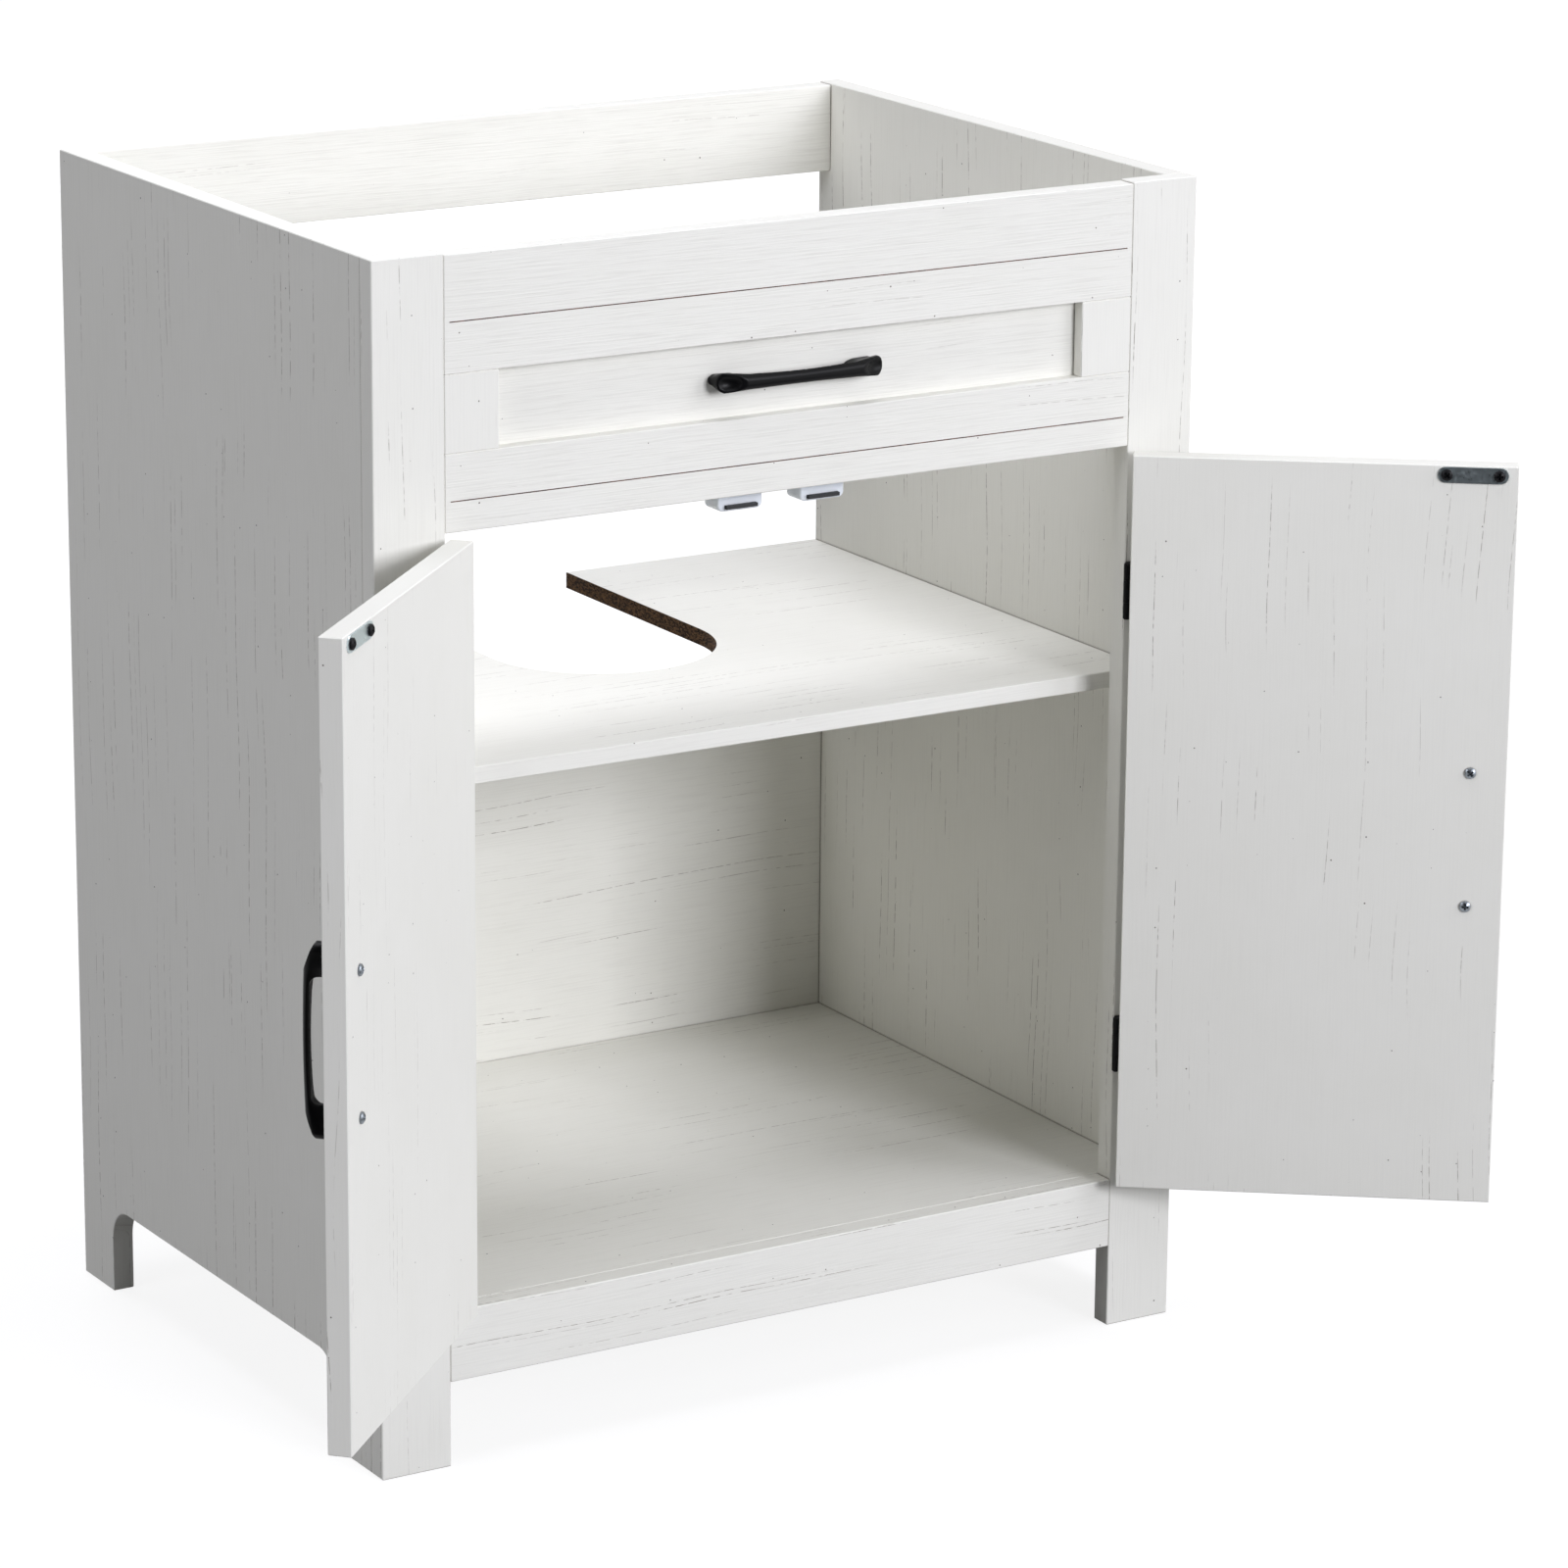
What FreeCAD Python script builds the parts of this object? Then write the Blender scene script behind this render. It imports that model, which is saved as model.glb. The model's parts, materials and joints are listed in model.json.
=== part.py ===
import FreeCAD, Part
import math
import os
import Sketcher
from FreeCAD import Placement, Rotation, Vector

# Free-standing bathroom vanity unit without its top: whitewashed boards, a fixed mock drawer front,
# two inset doors on surface hinges, a shelf cut out for the waste pipe and an open back above a low panel.
# Frame: X to the right along the front, Y to the back, Z up, origin on the floor under the carcass centre.

DIMENSIONS = [
    ("carcass_width", 635, "over the side panels, 25 in class"),
    ("carcass_depth", 465, "front of the stiles to the rear edge of the sides"),
    ("carcass_height", 826, "floor to rim, without the basin top"),
    ("board", 16, "carcass, front and door boards"),
    ("thin_board", 12, "shelf and back panel"),
    ("arris", 0.6, "bevel along every board edge"),
    ("rim_drop", 1, "rails stay this far below the rim"),
    ("stile_width", 52, "front stiles, which are also the front feet"),
    ("rear_foot", 48, "side panel behind the arch"),
    ("front_foot", 52, "side panel before the arch, behind the stile"),
    ("arch_height", 65, "floor to the arch of a side panel"),
    ("arch_radius", 25, "corners of that arch"),
    ("plinth_clear", 60, "floor to the bottom rail"),
    ("plinth_rail", 50, "height of the bottom rail"),
    ("apron_clear", 643, "floor to the fixed front"),
    ("apron_low_rail", 52, "lower rail of the fixed front"),
    ("apron_field", 52, "height of its sunk field"),
    ("apron_end", 40, "width of its end pieces"),
    ("drawer_line_low", 20.5, "lower hairline above the front's lower edge"),
    ("drawer_line_high", 44, "upper hairline below the front's upper edge"),
    ("hairline", 0.8, "width of the hairlines"),
    ("hairline_depth", 1.2, "depth of the hairlines"),
    ("hairline_end", 4, "hairline's end to the stile"),
    ("field_sink", 10, "how far the field lies behind the frame"),
    ("field_panel", 4, "thickness of the field panel"),
    ("field_tongue", 6, "part of the panel inside the frame's grooves"),
    ("end_reveal", 1.2, "shadow gap in front of the panel at its ends"),
    ("stretcher_depth", 60, "board behind the fixed front"),
    ("back_rail", 64, "height of the rail at the back of the rim"),
    ("back_panel_top", 365, "floor to the top of the back panel"),
    ("shelf_top", 476, "floor to the top of the shelf"),
    ("shelf_setback", 27, "front of the carcass to the shelf's front edge"),
    ("cutout_width", 170, "shelf cut-out, side to side"),
    ("cutout_depth", 280, "shelf cut-out, from the rear edge"),
    ("door_gap", 2, "reveal round each door"),
    ("door_frame", 50, "flat border of a door's outer face"),
    ("door_sink", 5, "depth of the field inside that border"),
    ("left_open", 136, "left door's opening at rest, degrees"),
    ("right_open", 143, "right door's opening at rest, degrees"),
    ("hinge_inset", 100, "door end to hinge centre"),
    ("leaf_height", 40, "hinge leaf along the pin"),
    ("leaf_reach", 20, "pin axis to the leaf's far edge"),
    ("leaf_sheet", 1.2, "leaf thickness"),
    ("leaf_hole_reach", 12, "pin axis to the screw holes"),
    ("leaf_hole_pitch", 24, "between the two screw holes"),
    ("barrel_radius", 2.75, "outside of the knuckles"),
    ("barrel_cone", 0.8, "bevel at the two ends of the barrel"),
    ("knuckle_mid", 16, "middle knuckle, on the door leaf"),
    ("knuckle_gap", 0.3, "play between knuckles"),
    ("pin_out", 3, "pin axis in front of the door's face"),
    ("pin_aside", 0.5, "pin axis beyond the stile's inner edge"),
    ("pin_radius", 1.25, "hinge pin"),
    ("fit", 0.05, "radial play of pins, dowels and screws"),
    ("handle_length", 128, "tip to tip"),
    ("handle_opening", 83, "between the posts"),
    ("handle_centres", 96, "between the screw holes"),
    ("handle_rise", 21, "face to the crown's middle"),
    ("handle_bow", 2, "crown's middle over its ends"),
    ("handle_grip", 4.4, "thickness of the grip"),
    ("handle_throat", 5, "round between post and grip"),
    ("handle_shoulder", 45, "middle to the upper end of the slanted face"),
    ("handle_toe", 12, "height of its lower end, at the tip"),
    ("handle_end_width", 14, "width at the tips, before they are rounded"),
    ("handle_waist", 9.5, "width at the middle"),
    ("handle_tip_round", 6.4, "round of the tips, seen from the front"),
    ("handle_top_round", 0.44, "round of the section, as a share of its width"),
    ("dish_length", 16, "dished oval of the slanted faces, along the face"),
    ("dish_width", 10.4, "the oval's width"),
    ("dish_depth", 2.3, "depth of the dish"),
    ("dish_shift", 1.2, "face's middle to the oval's, towards the tip"),
    ("handle_edge_inset", 25, "door's free edge to the handle's middle line"),
    ("catch_offset", 32, "cabinet's middle to the centre of a catch"),
    ("catch_width", 34, "catch housing"),
    ("catch_ears", 52, "over the catch's two screw ears"),
    ("catch_ear_sheet", 3, "thickness of the ears"),
    ("catch_drop", 15, "height of the housing"),
    ("catch_depth", 18, "front to rear of the housing"),
    ("catch_corner", 4, "round of its lower corners"),
    ("catch_hole_pitch", 43, "between its screws"),
    ("magnet_width", 24, "magnet bar"),
    ("magnet_thick", 2.4, "magnet bar"),
    ("magnet_depth", 14, "magnet bar, front to rear"),
    ("magnet_proud", 3.2, "part of it in front of the housing"),
    ("magnet_rise", 3, "housing's underside to the magnet's middle"),
    ("magnet_air", 0.3, "magnet to strike plate, door shut"),
    ("strike_length", 48, "strike plate"),
    ("strike_height", 11, "strike plate"),
    ("strike_sheet", 1.2, "strike plate"),
    ("strike_drop", 6.5, "door's top to the plate's middle"),
    ("strike_hole_pitch", 35.6, "between its screws"),
    ("dowel_radius", 3, "wooden dowels"),
    ("dowel_length", 30, "wooden dowels"),
    ("dowel_sunk", 11, "part of a dowel or bolt inside the side panel"),
    ("cam_radius", 7.4, "cam locks"),
    ("cam_depth", 12.4, "cam locks"),
    ("cam_inset", 34, "board end to cam centre"),
    ("bolt_radius", 3, "cam bolts"),
    ("bolt_short", 3, "bolt tip to cam centre"),
    ("handle_screw_radius", 2, "machine screws"),
    ("handle_screw_bite", 8, "part of the screw inside the handle"),
    ("wood_screw_radius", 1.5, "hinge, strike and catch screws"),
    ("wood_screw_bite", 11, "part of the screw inside the wood"),
    ("flat_head_radius", 3, "hinge screw heads"),
    ("flat_head_depth", 1.1, "hinge screw heads"),
    ("pan_head_radius", 3.9, "other screw heads"),
    ("pan_head_rise", 2.8, "other screw heads"),
]

doc = FreeCAD.newDocument("VanityUnit")
sheet = doc.addObject("Spreadsheet::Sheet", "Sheet")
for row, (alias, amount, note) in enumerate(DIMENSIONS, start=1):
    sheet.set(f"A{row}", str(amount))
    sheet.setAlias(f"A{row}", alias)
    sheet.set(f"B{row}", note)
doc.recompute()


class Size:
    """A length that carries its value in mm and the sheet expression that gives it."""

    def __init__(self, text, value):
        self.text = text
        self.value = value

    def joined(self, sign, other, value):
        return Size(f"({self.text} {sign} {other.text})", value)

    def __add__(self, other):
        other = sized(other)
        return self.joined("+", other, self.value + other.value)

    def __sub__(self, other):
        other = sized(other)
        return self.joined("-", other, self.value - other.value)

    def __mul__(self, other):
        other = sized(other)
        return self.joined("*", other, self.value * other.value)

    def __truediv__(self, other):
        other = sized(other)
        return self.joined("/", other, self.value / other.value)

    def __neg__(self):
        return Size(f"(0 - {self.text})", -self.value)


def sized(number):
    """A plain number as a Size; a Size as it is."""
    return number if isinstance(number, Size) else Size(f"({number})", float(number))


DIM = {alias: Size(f"Sheet.{alias}", float(amount)) for alias, amount, note in DIMENSIONS}
BOARD, THIN, GAP, FIT = DIM["board"], DIM["thin_board"], DIM["door_gap"], DIM["fit"]
HEIGHT = DIM["carcass_height"]
HALF = DIM["carcass_width"] / 2
BACK = DIM["carcass_depth"] / 2
FRONT = -BACK
FRONT_REAR = FRONT + BOARD
INNER = HALF - BOARD
STILE_IN = HALF - DIM["stile_width"]
RAIL_TOP = HEIGHT - DIM["rim_drop"]
PLINTH_TOP = DIM["plinth_clear"] + DIM["plinth_rail"]
APRON_LOW = DIM["apron_clear"]
FIELD_LOW = APRON_LOW + DIM["apron_low_rail"]
FIELD_HIGH = FIELD_LOW + DIM["apron_field"]
FIELD_FACE = FRONT + DIM["field_sink"]
BOTTOM_LOW = PLINTH_TOP - BOARD
BACK_FACE = BACK - THIN
BACK_RAIL_LOW = RAIL_TOP - DIM["back_rail"]
DOOR_LOW = PLINTH_TOP + GAP
DOOR_HIGH = APRON_LOW - GAP
DOOR_MID = (DOOR_LOW + DOOR_HIGH) / 2
PIN_X = STILE_IN + DIM["pin_aside"]
PIN_Y = FRONT - DIM["pin_out"]
DOOR_FREE = PIN_X - GAP / 2
DOOR_FACE = DIM["pin_out"]
DOOR_INSIDE = DOOR_FACE + BOARD
HINGES = (("upper", DOOR_HIGH - DIM["hinge_inset"]), ("lower", DOOR_LOW + DIM["hinge_inset"]))
SIDES = (("left", -1), ("right", 1))
OPEN_TURN = {-1: -DIM["left_open"], 1: DIM["right_open"]}
PAST = 1.0

AXES = {
    "+x": Vector(1, 0, 0),
    "-x": Vector(-1, 0, 0),
    "+y": Vector(0, 1, 0),
    "-y": Vector(0, -1, 0),
    "+z": Vector(0, 0, 1),
    "-z": Vector(0, 0, -1),
}

nodes = {}
bores = {}


def bind(item, prop, size):
    item.setExpression(prop, sized(size).text)


def put(item, point):
    for axis, amount in zip("xyz", point):
        bind(item, f"Placement.Base.{axis}", amount)


def box(name, low, high):
    """A block between its lowest and highest corner."""
    block = doc.addObject("Part::Box", name)
    for prop, a, b in zip(("Length", "Width", "Height"), low, high):
        bind(block, prop, sized(b) - a)
    put(block, low)
    return block


def span(sign, near, far):
    """Two distances from the middle plane as a low and a high X, on the side of the sign."""
    return (-sized(far), -sized(near)) if sign < 0 else (sized(near), sized(far))


def rod(name, start, axis, radius, length):
    """A cylinder from a point along an axis."""
    item = doc.addObject("Part::Cylinder", name)
    item.Placement = Placement(Vector(), Rotation(AXES["+z"], AXES[axis]))
    bind(item, "Radius", radius)
    bind(item, "Height", length)
    put(item, start)
    return item


def taper(name, start, axis, radius_start, radius_end, length):
    """A cone's frustum from a point along an axis."""
    item = doc.addObject("Part::Cone", name)
    item.Placement = Placement(Vector(), Rotation(AXES["+z"], AXES[axis]))
    bind(item, "Radius1", radius_start)
    bind(item, "Radius2", radius_end)
    bind(item, "Height", length)
    put(item, start)
    return item


def along(point, axis, distance):
    """The point moved along an axis."""
    way = AXES[axis]
    return tuple(sized(p) + sized(distance) * w if w else sized(p) for p, w in zip(point, way))


def fuse(name, members):
    item = doc.addObject("Part::MultiFuse", name)
    item.Shapes = members
    return item


def group(name, members):
    item = doc.addObject("Part::Compound", name)
    item.Links = members
    return item


def bevel(body, feature):
    """A small bevel along every edge of a body's last feature."""
    doc.recompute()
    arris = body.newObject("PartDesign::Chamfer", f"{body.Name}_arris")
    arris.Base = (feature, ["Edge1"])
    arris.UseAllEdges = True
    bind(arris, "Size", DIM["arris"])


def board(name, low, high):
    """A bevelled board between its lowest and highest corner."""
    body = doc.addObject("PartDesign::Body", f"{name}_board")
    block = body.newObject("PartDesign::AdditiveBox", f"{name}_block")
    for prop, a, b in zip(("Length", "Width", "Height"), low, high):
        bind(block, prop, sized(b) - a)
    bevel(body, block)
    put(body, low)
    return body


def bore(names, cutter):
    for name in names:
        bores.setdefault(name, []).append(cutter)


def on_door(sign):
    """Where a door's own frame stands: origin on the pin axis, at floor level, turned open."""
    return (PIN_X * sign, PIN_Y, 0), OPEN_TURN[sign]


def node(label, item, place=None):
    """Names a finished piece, and stands it in its place where it has one of its own."""
    item.Label = label
    if place:
        point, turn = place
        item.Placement = Placement(Vector(), Rotation(AXES["+z"], 1))
        put(item, point)
        bind(item, "Placement.Rotation.Angle", turn)
    nodes[label] = item


def bored(label, item, place=None):
    """The piece with every bore that its joints ask for."""
    cutters = bores.pop(label, [])
    if cutters:
        cut = doc.addObject("Part::Cut", f"{label}_bored")
        cut.Base = item
        cut.Tool = group(f"{label}_bores", cutters)
        item = cut
    node(label, item, place)


def new_sketch(body, plane, name):
    sketch = body.newObject("Sketcher::SketchObject", name)
    sketch.AttachmentSupport = [(next(p for p in body.Origin.OriginFeatures if p.Role == plane), "")]
    sketch.MapMode = "FlatFace"
    return sketch


def outline(sketch, points, arcs):
    """Closes a loop through the points. arcs gives a side's radius and which hand it bulges to."""
    first = sketch.GeometryCount
    spots = [Vector(sized(x).value, sized(y).value, 0) for x, y in points]
    for n, start in enumerate(spots):
        end = spots[(n + 1) % len(spots)]
        if n in arcs:
            radius, hand = arcs[n]
            chord = end - start
            rise = radius.value - math.sqrt(radius.value**2 - chord.Length**2 / 4)
            crown = (start + end) / 2 + Vector(-chord.y, chord.x, 0).normalize() * rise * hand
            sketch.addGeometry(Part.Arc(start, crown, end))
        else:
            sketch.addGeometry(Part.LineSegment(start, end))

    def end_at(side, spot):
        return 1 if sketch.getPoint(side, 1).distanceToPoint(spot) < 1e-5 else 2

    for n, spot in enumerate(spots):
        side, before = first + n, first + (n - 1) % len(spots)
        here, there = end_at(side, spot), end_at(before, spot)
        sketch.addConstraint(Sketcher.Constraint("Coincident", before, there, side, here))
        for kind, amount in zip(("DistanceX", "DistanceY"), points[n]):
            amount = sized(amount)
            number = sketch.addConstraint(Sketcher.Constraint(kind, side, here, amount.value))
            sketch.setExpression(f"Constraints[{number}]", amount.text)
        if n in arcs:
            radius = arcs[n][0]
            number = sketch.addConstraint(Sketcher.Constraint("Radius", side, radius.value))
            sketch.setExpression(f"Constraints[{number}]", radius.text)


def bow_radius(half_chord, rise):
    """Radius of an arc from half its chord and its rise."""
    return (half_chord * half_chord + rise * rise) / (rise * 2)


# Joints between the boards

dowels = []
cams = []
bolts = []


def dowel(start, axis, names):
    """A wooden dowel from a point along an axis, with its bore in the boards that it joins."""
    name = f"dowel_{len(dowels)}"
    dowels.append(rod(name, start, axis, DIM["dowel_radius"] - FIT, DIM["dowel_length"]))
    deep = DIM["dowel_length"] + PAST
    bore(names, rod(f"{name}_bore", along(start, axis, -PAST / 2), axis, DIM["dowel_radius"], deep))


def side_dowel(sign, y, z, name):
    """A dowel from a side panel into the end of a board."""
    hand, axis = ("left", "+x") if sign < 0 else ("right", "-x")
    dowel(((INNER + DIM["dowel_sunk"]) * sign, y, z), axis, (f"{hand}_side_panel", name))


def cam_joint(sign, y, z, name, face, axis):
    """A bolt from a side panel into a board, and the cam that draws it tight."""
    hand, inward = ("left", "+x") if sign < 0 else ("right", "-x")
    number = len(cams)
    start = ((INNER + DIM["dowel_sunk"]) * sign, y, z)
    length = DIM["dowel_sunk"] + DIM["cam_inset"] - DIM["bolt_short"]
    bolts.append(rod(f"cam_bolt_{number}", start, inward, DIM["bolt_radius"], length))
    hole = rod(f"cam_bolt_{number}_bore", start, inward, DIM["bolt_radius"] + FIT, length + PAST)
    bore((f"{hand}_side_panel", name), hole)
    centre = ((INNER - DIM["cam_inset"]) * sign, *face)
    body = rod(f"cam_{number}_disc", centre, axis, DIM["cam_radius"], DIM["cam_depth"])
    lock = doc.addObject("Part::Cut", f"cam_{number}")
    lock.Base = body
    lock.Tool = hole
    cams.append(lock)
    seat = rod(f"cam_{number}_seat", centre, axis, DIM["cam_radius"] + FIT, DIM["cam_depth"] + FIT)
    bore((name,), seat)


def join_boards():
    mid_front = FRONT + BOARD / 2
    for hand, sign in SIDES:
        stile, toward = f"{hand}_stile", "+x" if sign < 0 else "-x"
        into_rail = (STILE_IN + DIM["dowel_length"] / 2) * sign
        for z in (HEIGHT * 0.18, HEIGHT / 2, HEIGHT * 0.82):
            start = ((HALF - BOARD / 2) * sign, FRONT_REAR - BOARD * 0.6, z)
            dowel(start, "+y", (stile, f"{hand}_side_panel"))
        top_rail = RAIL_TOP - FIELD_HIGH
        for z, name in (
            (FIELD_HIGH + top_rail * 0.3, "apron_top_rail"),
            (FIELD_HIGH + top_rail * 0.75, "apron_top_rail"),
            (FIELD_LOW + DIM["apron_field"] / 2, f"apron_{hand}_end"),
            (APRON_LOW + DIM["apron_low_rail"] / 2, "apron_bottom_rail"),
            (DIM["plinth_clear"] + DIM["plinth_rail"] / 2, "bottom_rail"),
        ):
            dowel((into_rail, mid_front, z), toward, (stile, name))
        side_dowel(sign, FRONT_REAR + DIM["stretcher_depth"] / 2, APRON_LOW + BOARD / 2, "front_stretcher")
        inset = DIM["carcass_depth"] / 7
        for y in (FRONT_REAR + inset, BACK_FACE - inset):
            side_dowel(sign, y, BOTTOM_LOW + BOARD / 2, "bottom_panel")
            side_dowel(sign, y, DIM["shelf_top"] - THIN / 2, "shelf")
            cam_y = y + inset / 2 if y.value < 0 else y - inset / 2
            cam_joint(sign, cam_y, BOTTOM_LOW + BOARD / 2, "bottom_panel", (cam_y, BOTTOM_LOW), "+z")
        for z in (BOTTOM_LOW + inset, DIM["back_panel_top"] - inset):
            side_dowel(sign, BACK - THIN / 2, z, "back_panel")
        side_dowel(sign, BACK - BOARD / 2, BACK_RAIL_LOW + DIM["back_rail"] / 4, "back_top_rail")
        cam_z = BACK_RAIL_LOW + DIM["back_rail"] * 0.7
        cam_joint(sign, BACK - BOARD / 2, cam_z, "back_top_rail", (BACK, cam_z), "-y")


# Fasteners


def pan_screw(name, seat, axis, shank_radius, bite):
    """A pan-head screw. The axis points from the seat out through the head."""
    wide, rise = DIM["pan_head_radius"], DIM["pan_head_rise"]
    inward = axis.translate(str.maketrans("+-", "-+"))
    return fuse(
        name,
        [
            rod(f"{name}_rim", seat, axis, wide, rise / 2),
            taper(f"{name}_crown", along(seat, axis, rise / 2), axis, wide, wide * 0.72, rise / 2),
            rod(f"{name}_shank", seat, inward, shank_radius, bite),
        ],
    )


def flat_screw(name, face, axis):
    """A countersunk hinge screw. The axis points out through its head, whose top is at the face."""
    inward = axis.translate(str.maketrans("+-", "-+"))
    wide, deep, shank = DIM["flat_head_radius"], DIM["flat_head_depth"], DIM["wood_screw_radius"]
    return fuse(
        name,
        [
            taper(f"{name}_head", face, inward, wide, wide * 0.65, deep),
            rod(f"{name}_shank", face, inward, shank, DIM["wood_screw_bite"] + DIM["leaf_sheet"]),
        ],
    )


# Carcass boards


def side_panel(hand, sign):
    body = doc.addObject("PartDesign::Body", f"{hand}_side_body")
    sketch = new_sketch(body, "YZ_Plane", f"{hand}_side_outline")
    low_front, low_rear = FRONT_REAR + DIM["front_foot"], BACK - DIM["rear_foot"]
    rise, radius = DIM["arch_height"], DIM["arch_radius"]
    outline(
        sketch,
        [
            (BACK, 0),
            (BACK, HEIGHT),
            (FRONT_REAR, HEIGHT),
            (FRONT_REAR, 0),
            (low_front, 0),
            (low_front, rise - radius),
            (low_front + radius, rise),
            (low_rear - radius, rise),
            (low_rear, rise - radius),
            (low_rear, 0),
        ],
        {5: (radius, 1), 7: (radius, 1)},
    )
    pad = body.newObject("PartDesign::Pad", f"{hand}_side_pad")
    pad.Profile = sketch
    bind(pad, "Length", BOARD)
    bevel(body, pad)
    bind(body, "Placement.Base.x", span(sign, INNER, HALF)[0])
    bored(f"{hand}_side_panel", body)


def stile(hand, sign):
    low, high = span(sign, STILE_IN, HALF)
    bored(f"{hand}_stile", board(f"{hand}_stile", (low, FRONT, 0), (high, FRONT_REAR, HEIGHT)))


def field_groove(name, low, high, reveal):
    """A groove for the field panel's tongue, open at the front by the reveal."""
    rear = FIELD_FACE + DIM["field_panel"] + FIT
    return box(name, (low[0], FIELD_FACE - reveal, low[1]), (high[0], rear, high[1]))


def apron():
    """The fixed front: two rails, two end pieces and the sunk field panel."""
    tongue, reach = DIM["field_tongue"] + FIT, STILE_IN - DIM["apron_end"]
    line = DIM["hairline"] / 2
    for name, low, high, line_z, groove in (
        ("apron_top_rail", FIELD_HIGH, RAIL_TOP, RAIL_TOP - DIM["drawer_line_high"], FIELD_HIGH),
        ("apron_bottom_rail", APRON_LOW, FIELD_LOW, APRON_LOW + DIM["drawer_line_low"], FIELD_LOW),
    ):
        blank = board(name, (-STILE_IN, FRONT, low), (STILE_IN, FRONT_REAR, high))
        line_end = STILE_IN - DIM["hairline_end"]
        cut_line = box(
            f"{name}_line",
            (-line_end, FRONT - PAST, line_z - line),
            (line_end, FRONT + DIM["hairline_depth"], line_z + line),
        )
        low, high = (-reach - tongue, groove - tongue), (reach + tongue, groove + tongue)
        slot = field_groove(f"{name}_groove", low, high, FIT)
        bore((name,), cut_line)
        bore((name,), slot)
        bored(name, blank)
    for hand, sign in SIDES:
        name = f"apron_{hand}_end"
        low, high = span(sign, reach, STILE_IN)
        blank = board(name, (low, FRONT, FIELD_LOW), (high, FRONT_REAR, FIELD_HIGH))
        edge = reach * sign
        slot = field_groove(
            f"{name}_groove",
            (edge - tongue, FIELD_LOW - PAST),
            (edge + tongue, FIELD_HIGH + PAST),
            DIM["end_reveal"],
        )
        bore((name,), slot)
        bored(name, blank)
    grow = DIM["field_tongue"]
    panel = box(
        "apron_field_block",
        (-reach - grow, FIELD_FACE, FIELD_LOW - grow),
        (reach + grow, FIELD_FACE + DIM["field_panel"], FIELD_HIGH + grow),
    )
    bored("apron_field_panel", panel)


def shelf():
    low = (-INNER, FRONT + DIM["shelf_setback"], DIM["shelf_top"] - THIN)
    blank = board("shelf", low, (INNER, BACK, DIM["shelf_top"]))
    radius = DIM["cutout_width"] / 2
    round_y = BACK - DIM["cutout_depth"] + radius
    under, over = DIM["shelf_top"] - THIN - PAST, DIM["shelf_top"] + PAST
    throat = box("shelf_cutout_throat", (-radius, round_y, under), (radius, BACK + PAST, over))
    end = rod("shelf_cutout_end", (0, round_y, under), "+z", radius, THIN + PAST * 2)
    bore(("shelf",), fuse("shelf_cutout", [throat, end]))
    bored("shelf", blank)


def carcass():
    for hand, sign in SIDES:
        side_panel(hand, sign)
        stile(hand, sign)
    apron()
    shelf()
    for name, low, high in (
        ("bottom_rail", (-STILE_IN, FRONT, DIM["plinth_clear"]), (STILE_IN, FRONT_REAR, PLINTH_TOP)),
        ("bottom_panel", (-INNER, FRONT_REAR, BOTTOM_LOW), (INNER, BACK_FACE, PLINTH_TOP)),
        ("back_panel", (-INNER, BACK_FACE, BOTTOM_LOW), (INNER, BACK, DIM["back_panel_top"])),
        ("back_top_rail", (-INNER, BACK - BOARD, BACK_RAIL_LOW), (INNER, BACK, RAIL_TOP)),
        (
            "front_stretcher",
            (-INNER, FRONT_REAR, APRON_LOW),
            (INNER, FRONT_REAR + DIM["stretcher_depth"], APRON_LOW + BOARD),
        ),
    ):
        bored(name, board(name, low, high))
    node("wood_dowels", group("wood_dowels_group", dowels))
    node("cam_locks", group("cam_locks_group", cams))
    node("cam_bolts", group("cam_bolts_group", bolts))


# Bow handle with dished end faces. Its own frame: X along the grip, Z away from the board.


def handle(name):
    body = doc.addObject("PartDesign::Body", f"{name}_body")
    tip, rise, bow = DIM["handle_length"] / 2, DIM["handle_rise"], DIM["handle_bow"]
    waist, flare = DIM["handle_waist"], DIM["handle_end_width"] - DIM["handle_waist"]
    sections = []
    for n, share in enumerate((-1, -0.5, 0, 0.5, 1)):
        width, top = waist + flare * share**2, rise - bow * share**2
        sections.append(handle_section(body, f"{name}_section_{n}", tip * share, width, top))
    doc.recompute()
    hull = body.newObject("PartDesign::AdditiveLoft", f"{name}_hull")
    hull.Profile = sections[0]
    hull.Sections = sections[1:]
    doc.recompute()
    round_tips(body, name)
    shoulder = DIM["handle_shoulder"]
    crown = rise - bow * shoulder * shoulder / (tip * tip)
    cut_side(body, name, shoulder, crown, tip)
    for sign in (-1, 1):
        dish(body, f"{name}_dish_{sign + 1}", sign, shoulder, crown, tip)
    return body


def handle_section(body, name, reach, width, top):
    """A section across the handle: upright flanks and a rounded top. It starts below the board's face."""
    section = new_sketch(body, "YZ_Plane", name)
    bind(section, "AttachmentOffset.Base.z", reach)
    half, ease = width / 2, width * DIM["handle_top_round"]
    outline(
        section,
        [
            (-half, -PAST),
            (half, -PAST),
            (half, top - ease),
            (half - ease, top),
            (ease - half, top),
            (-half, top - ease),
        ],
        {2: (ease, -1), 4: (ease, -1)},
    )
    return section


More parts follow.
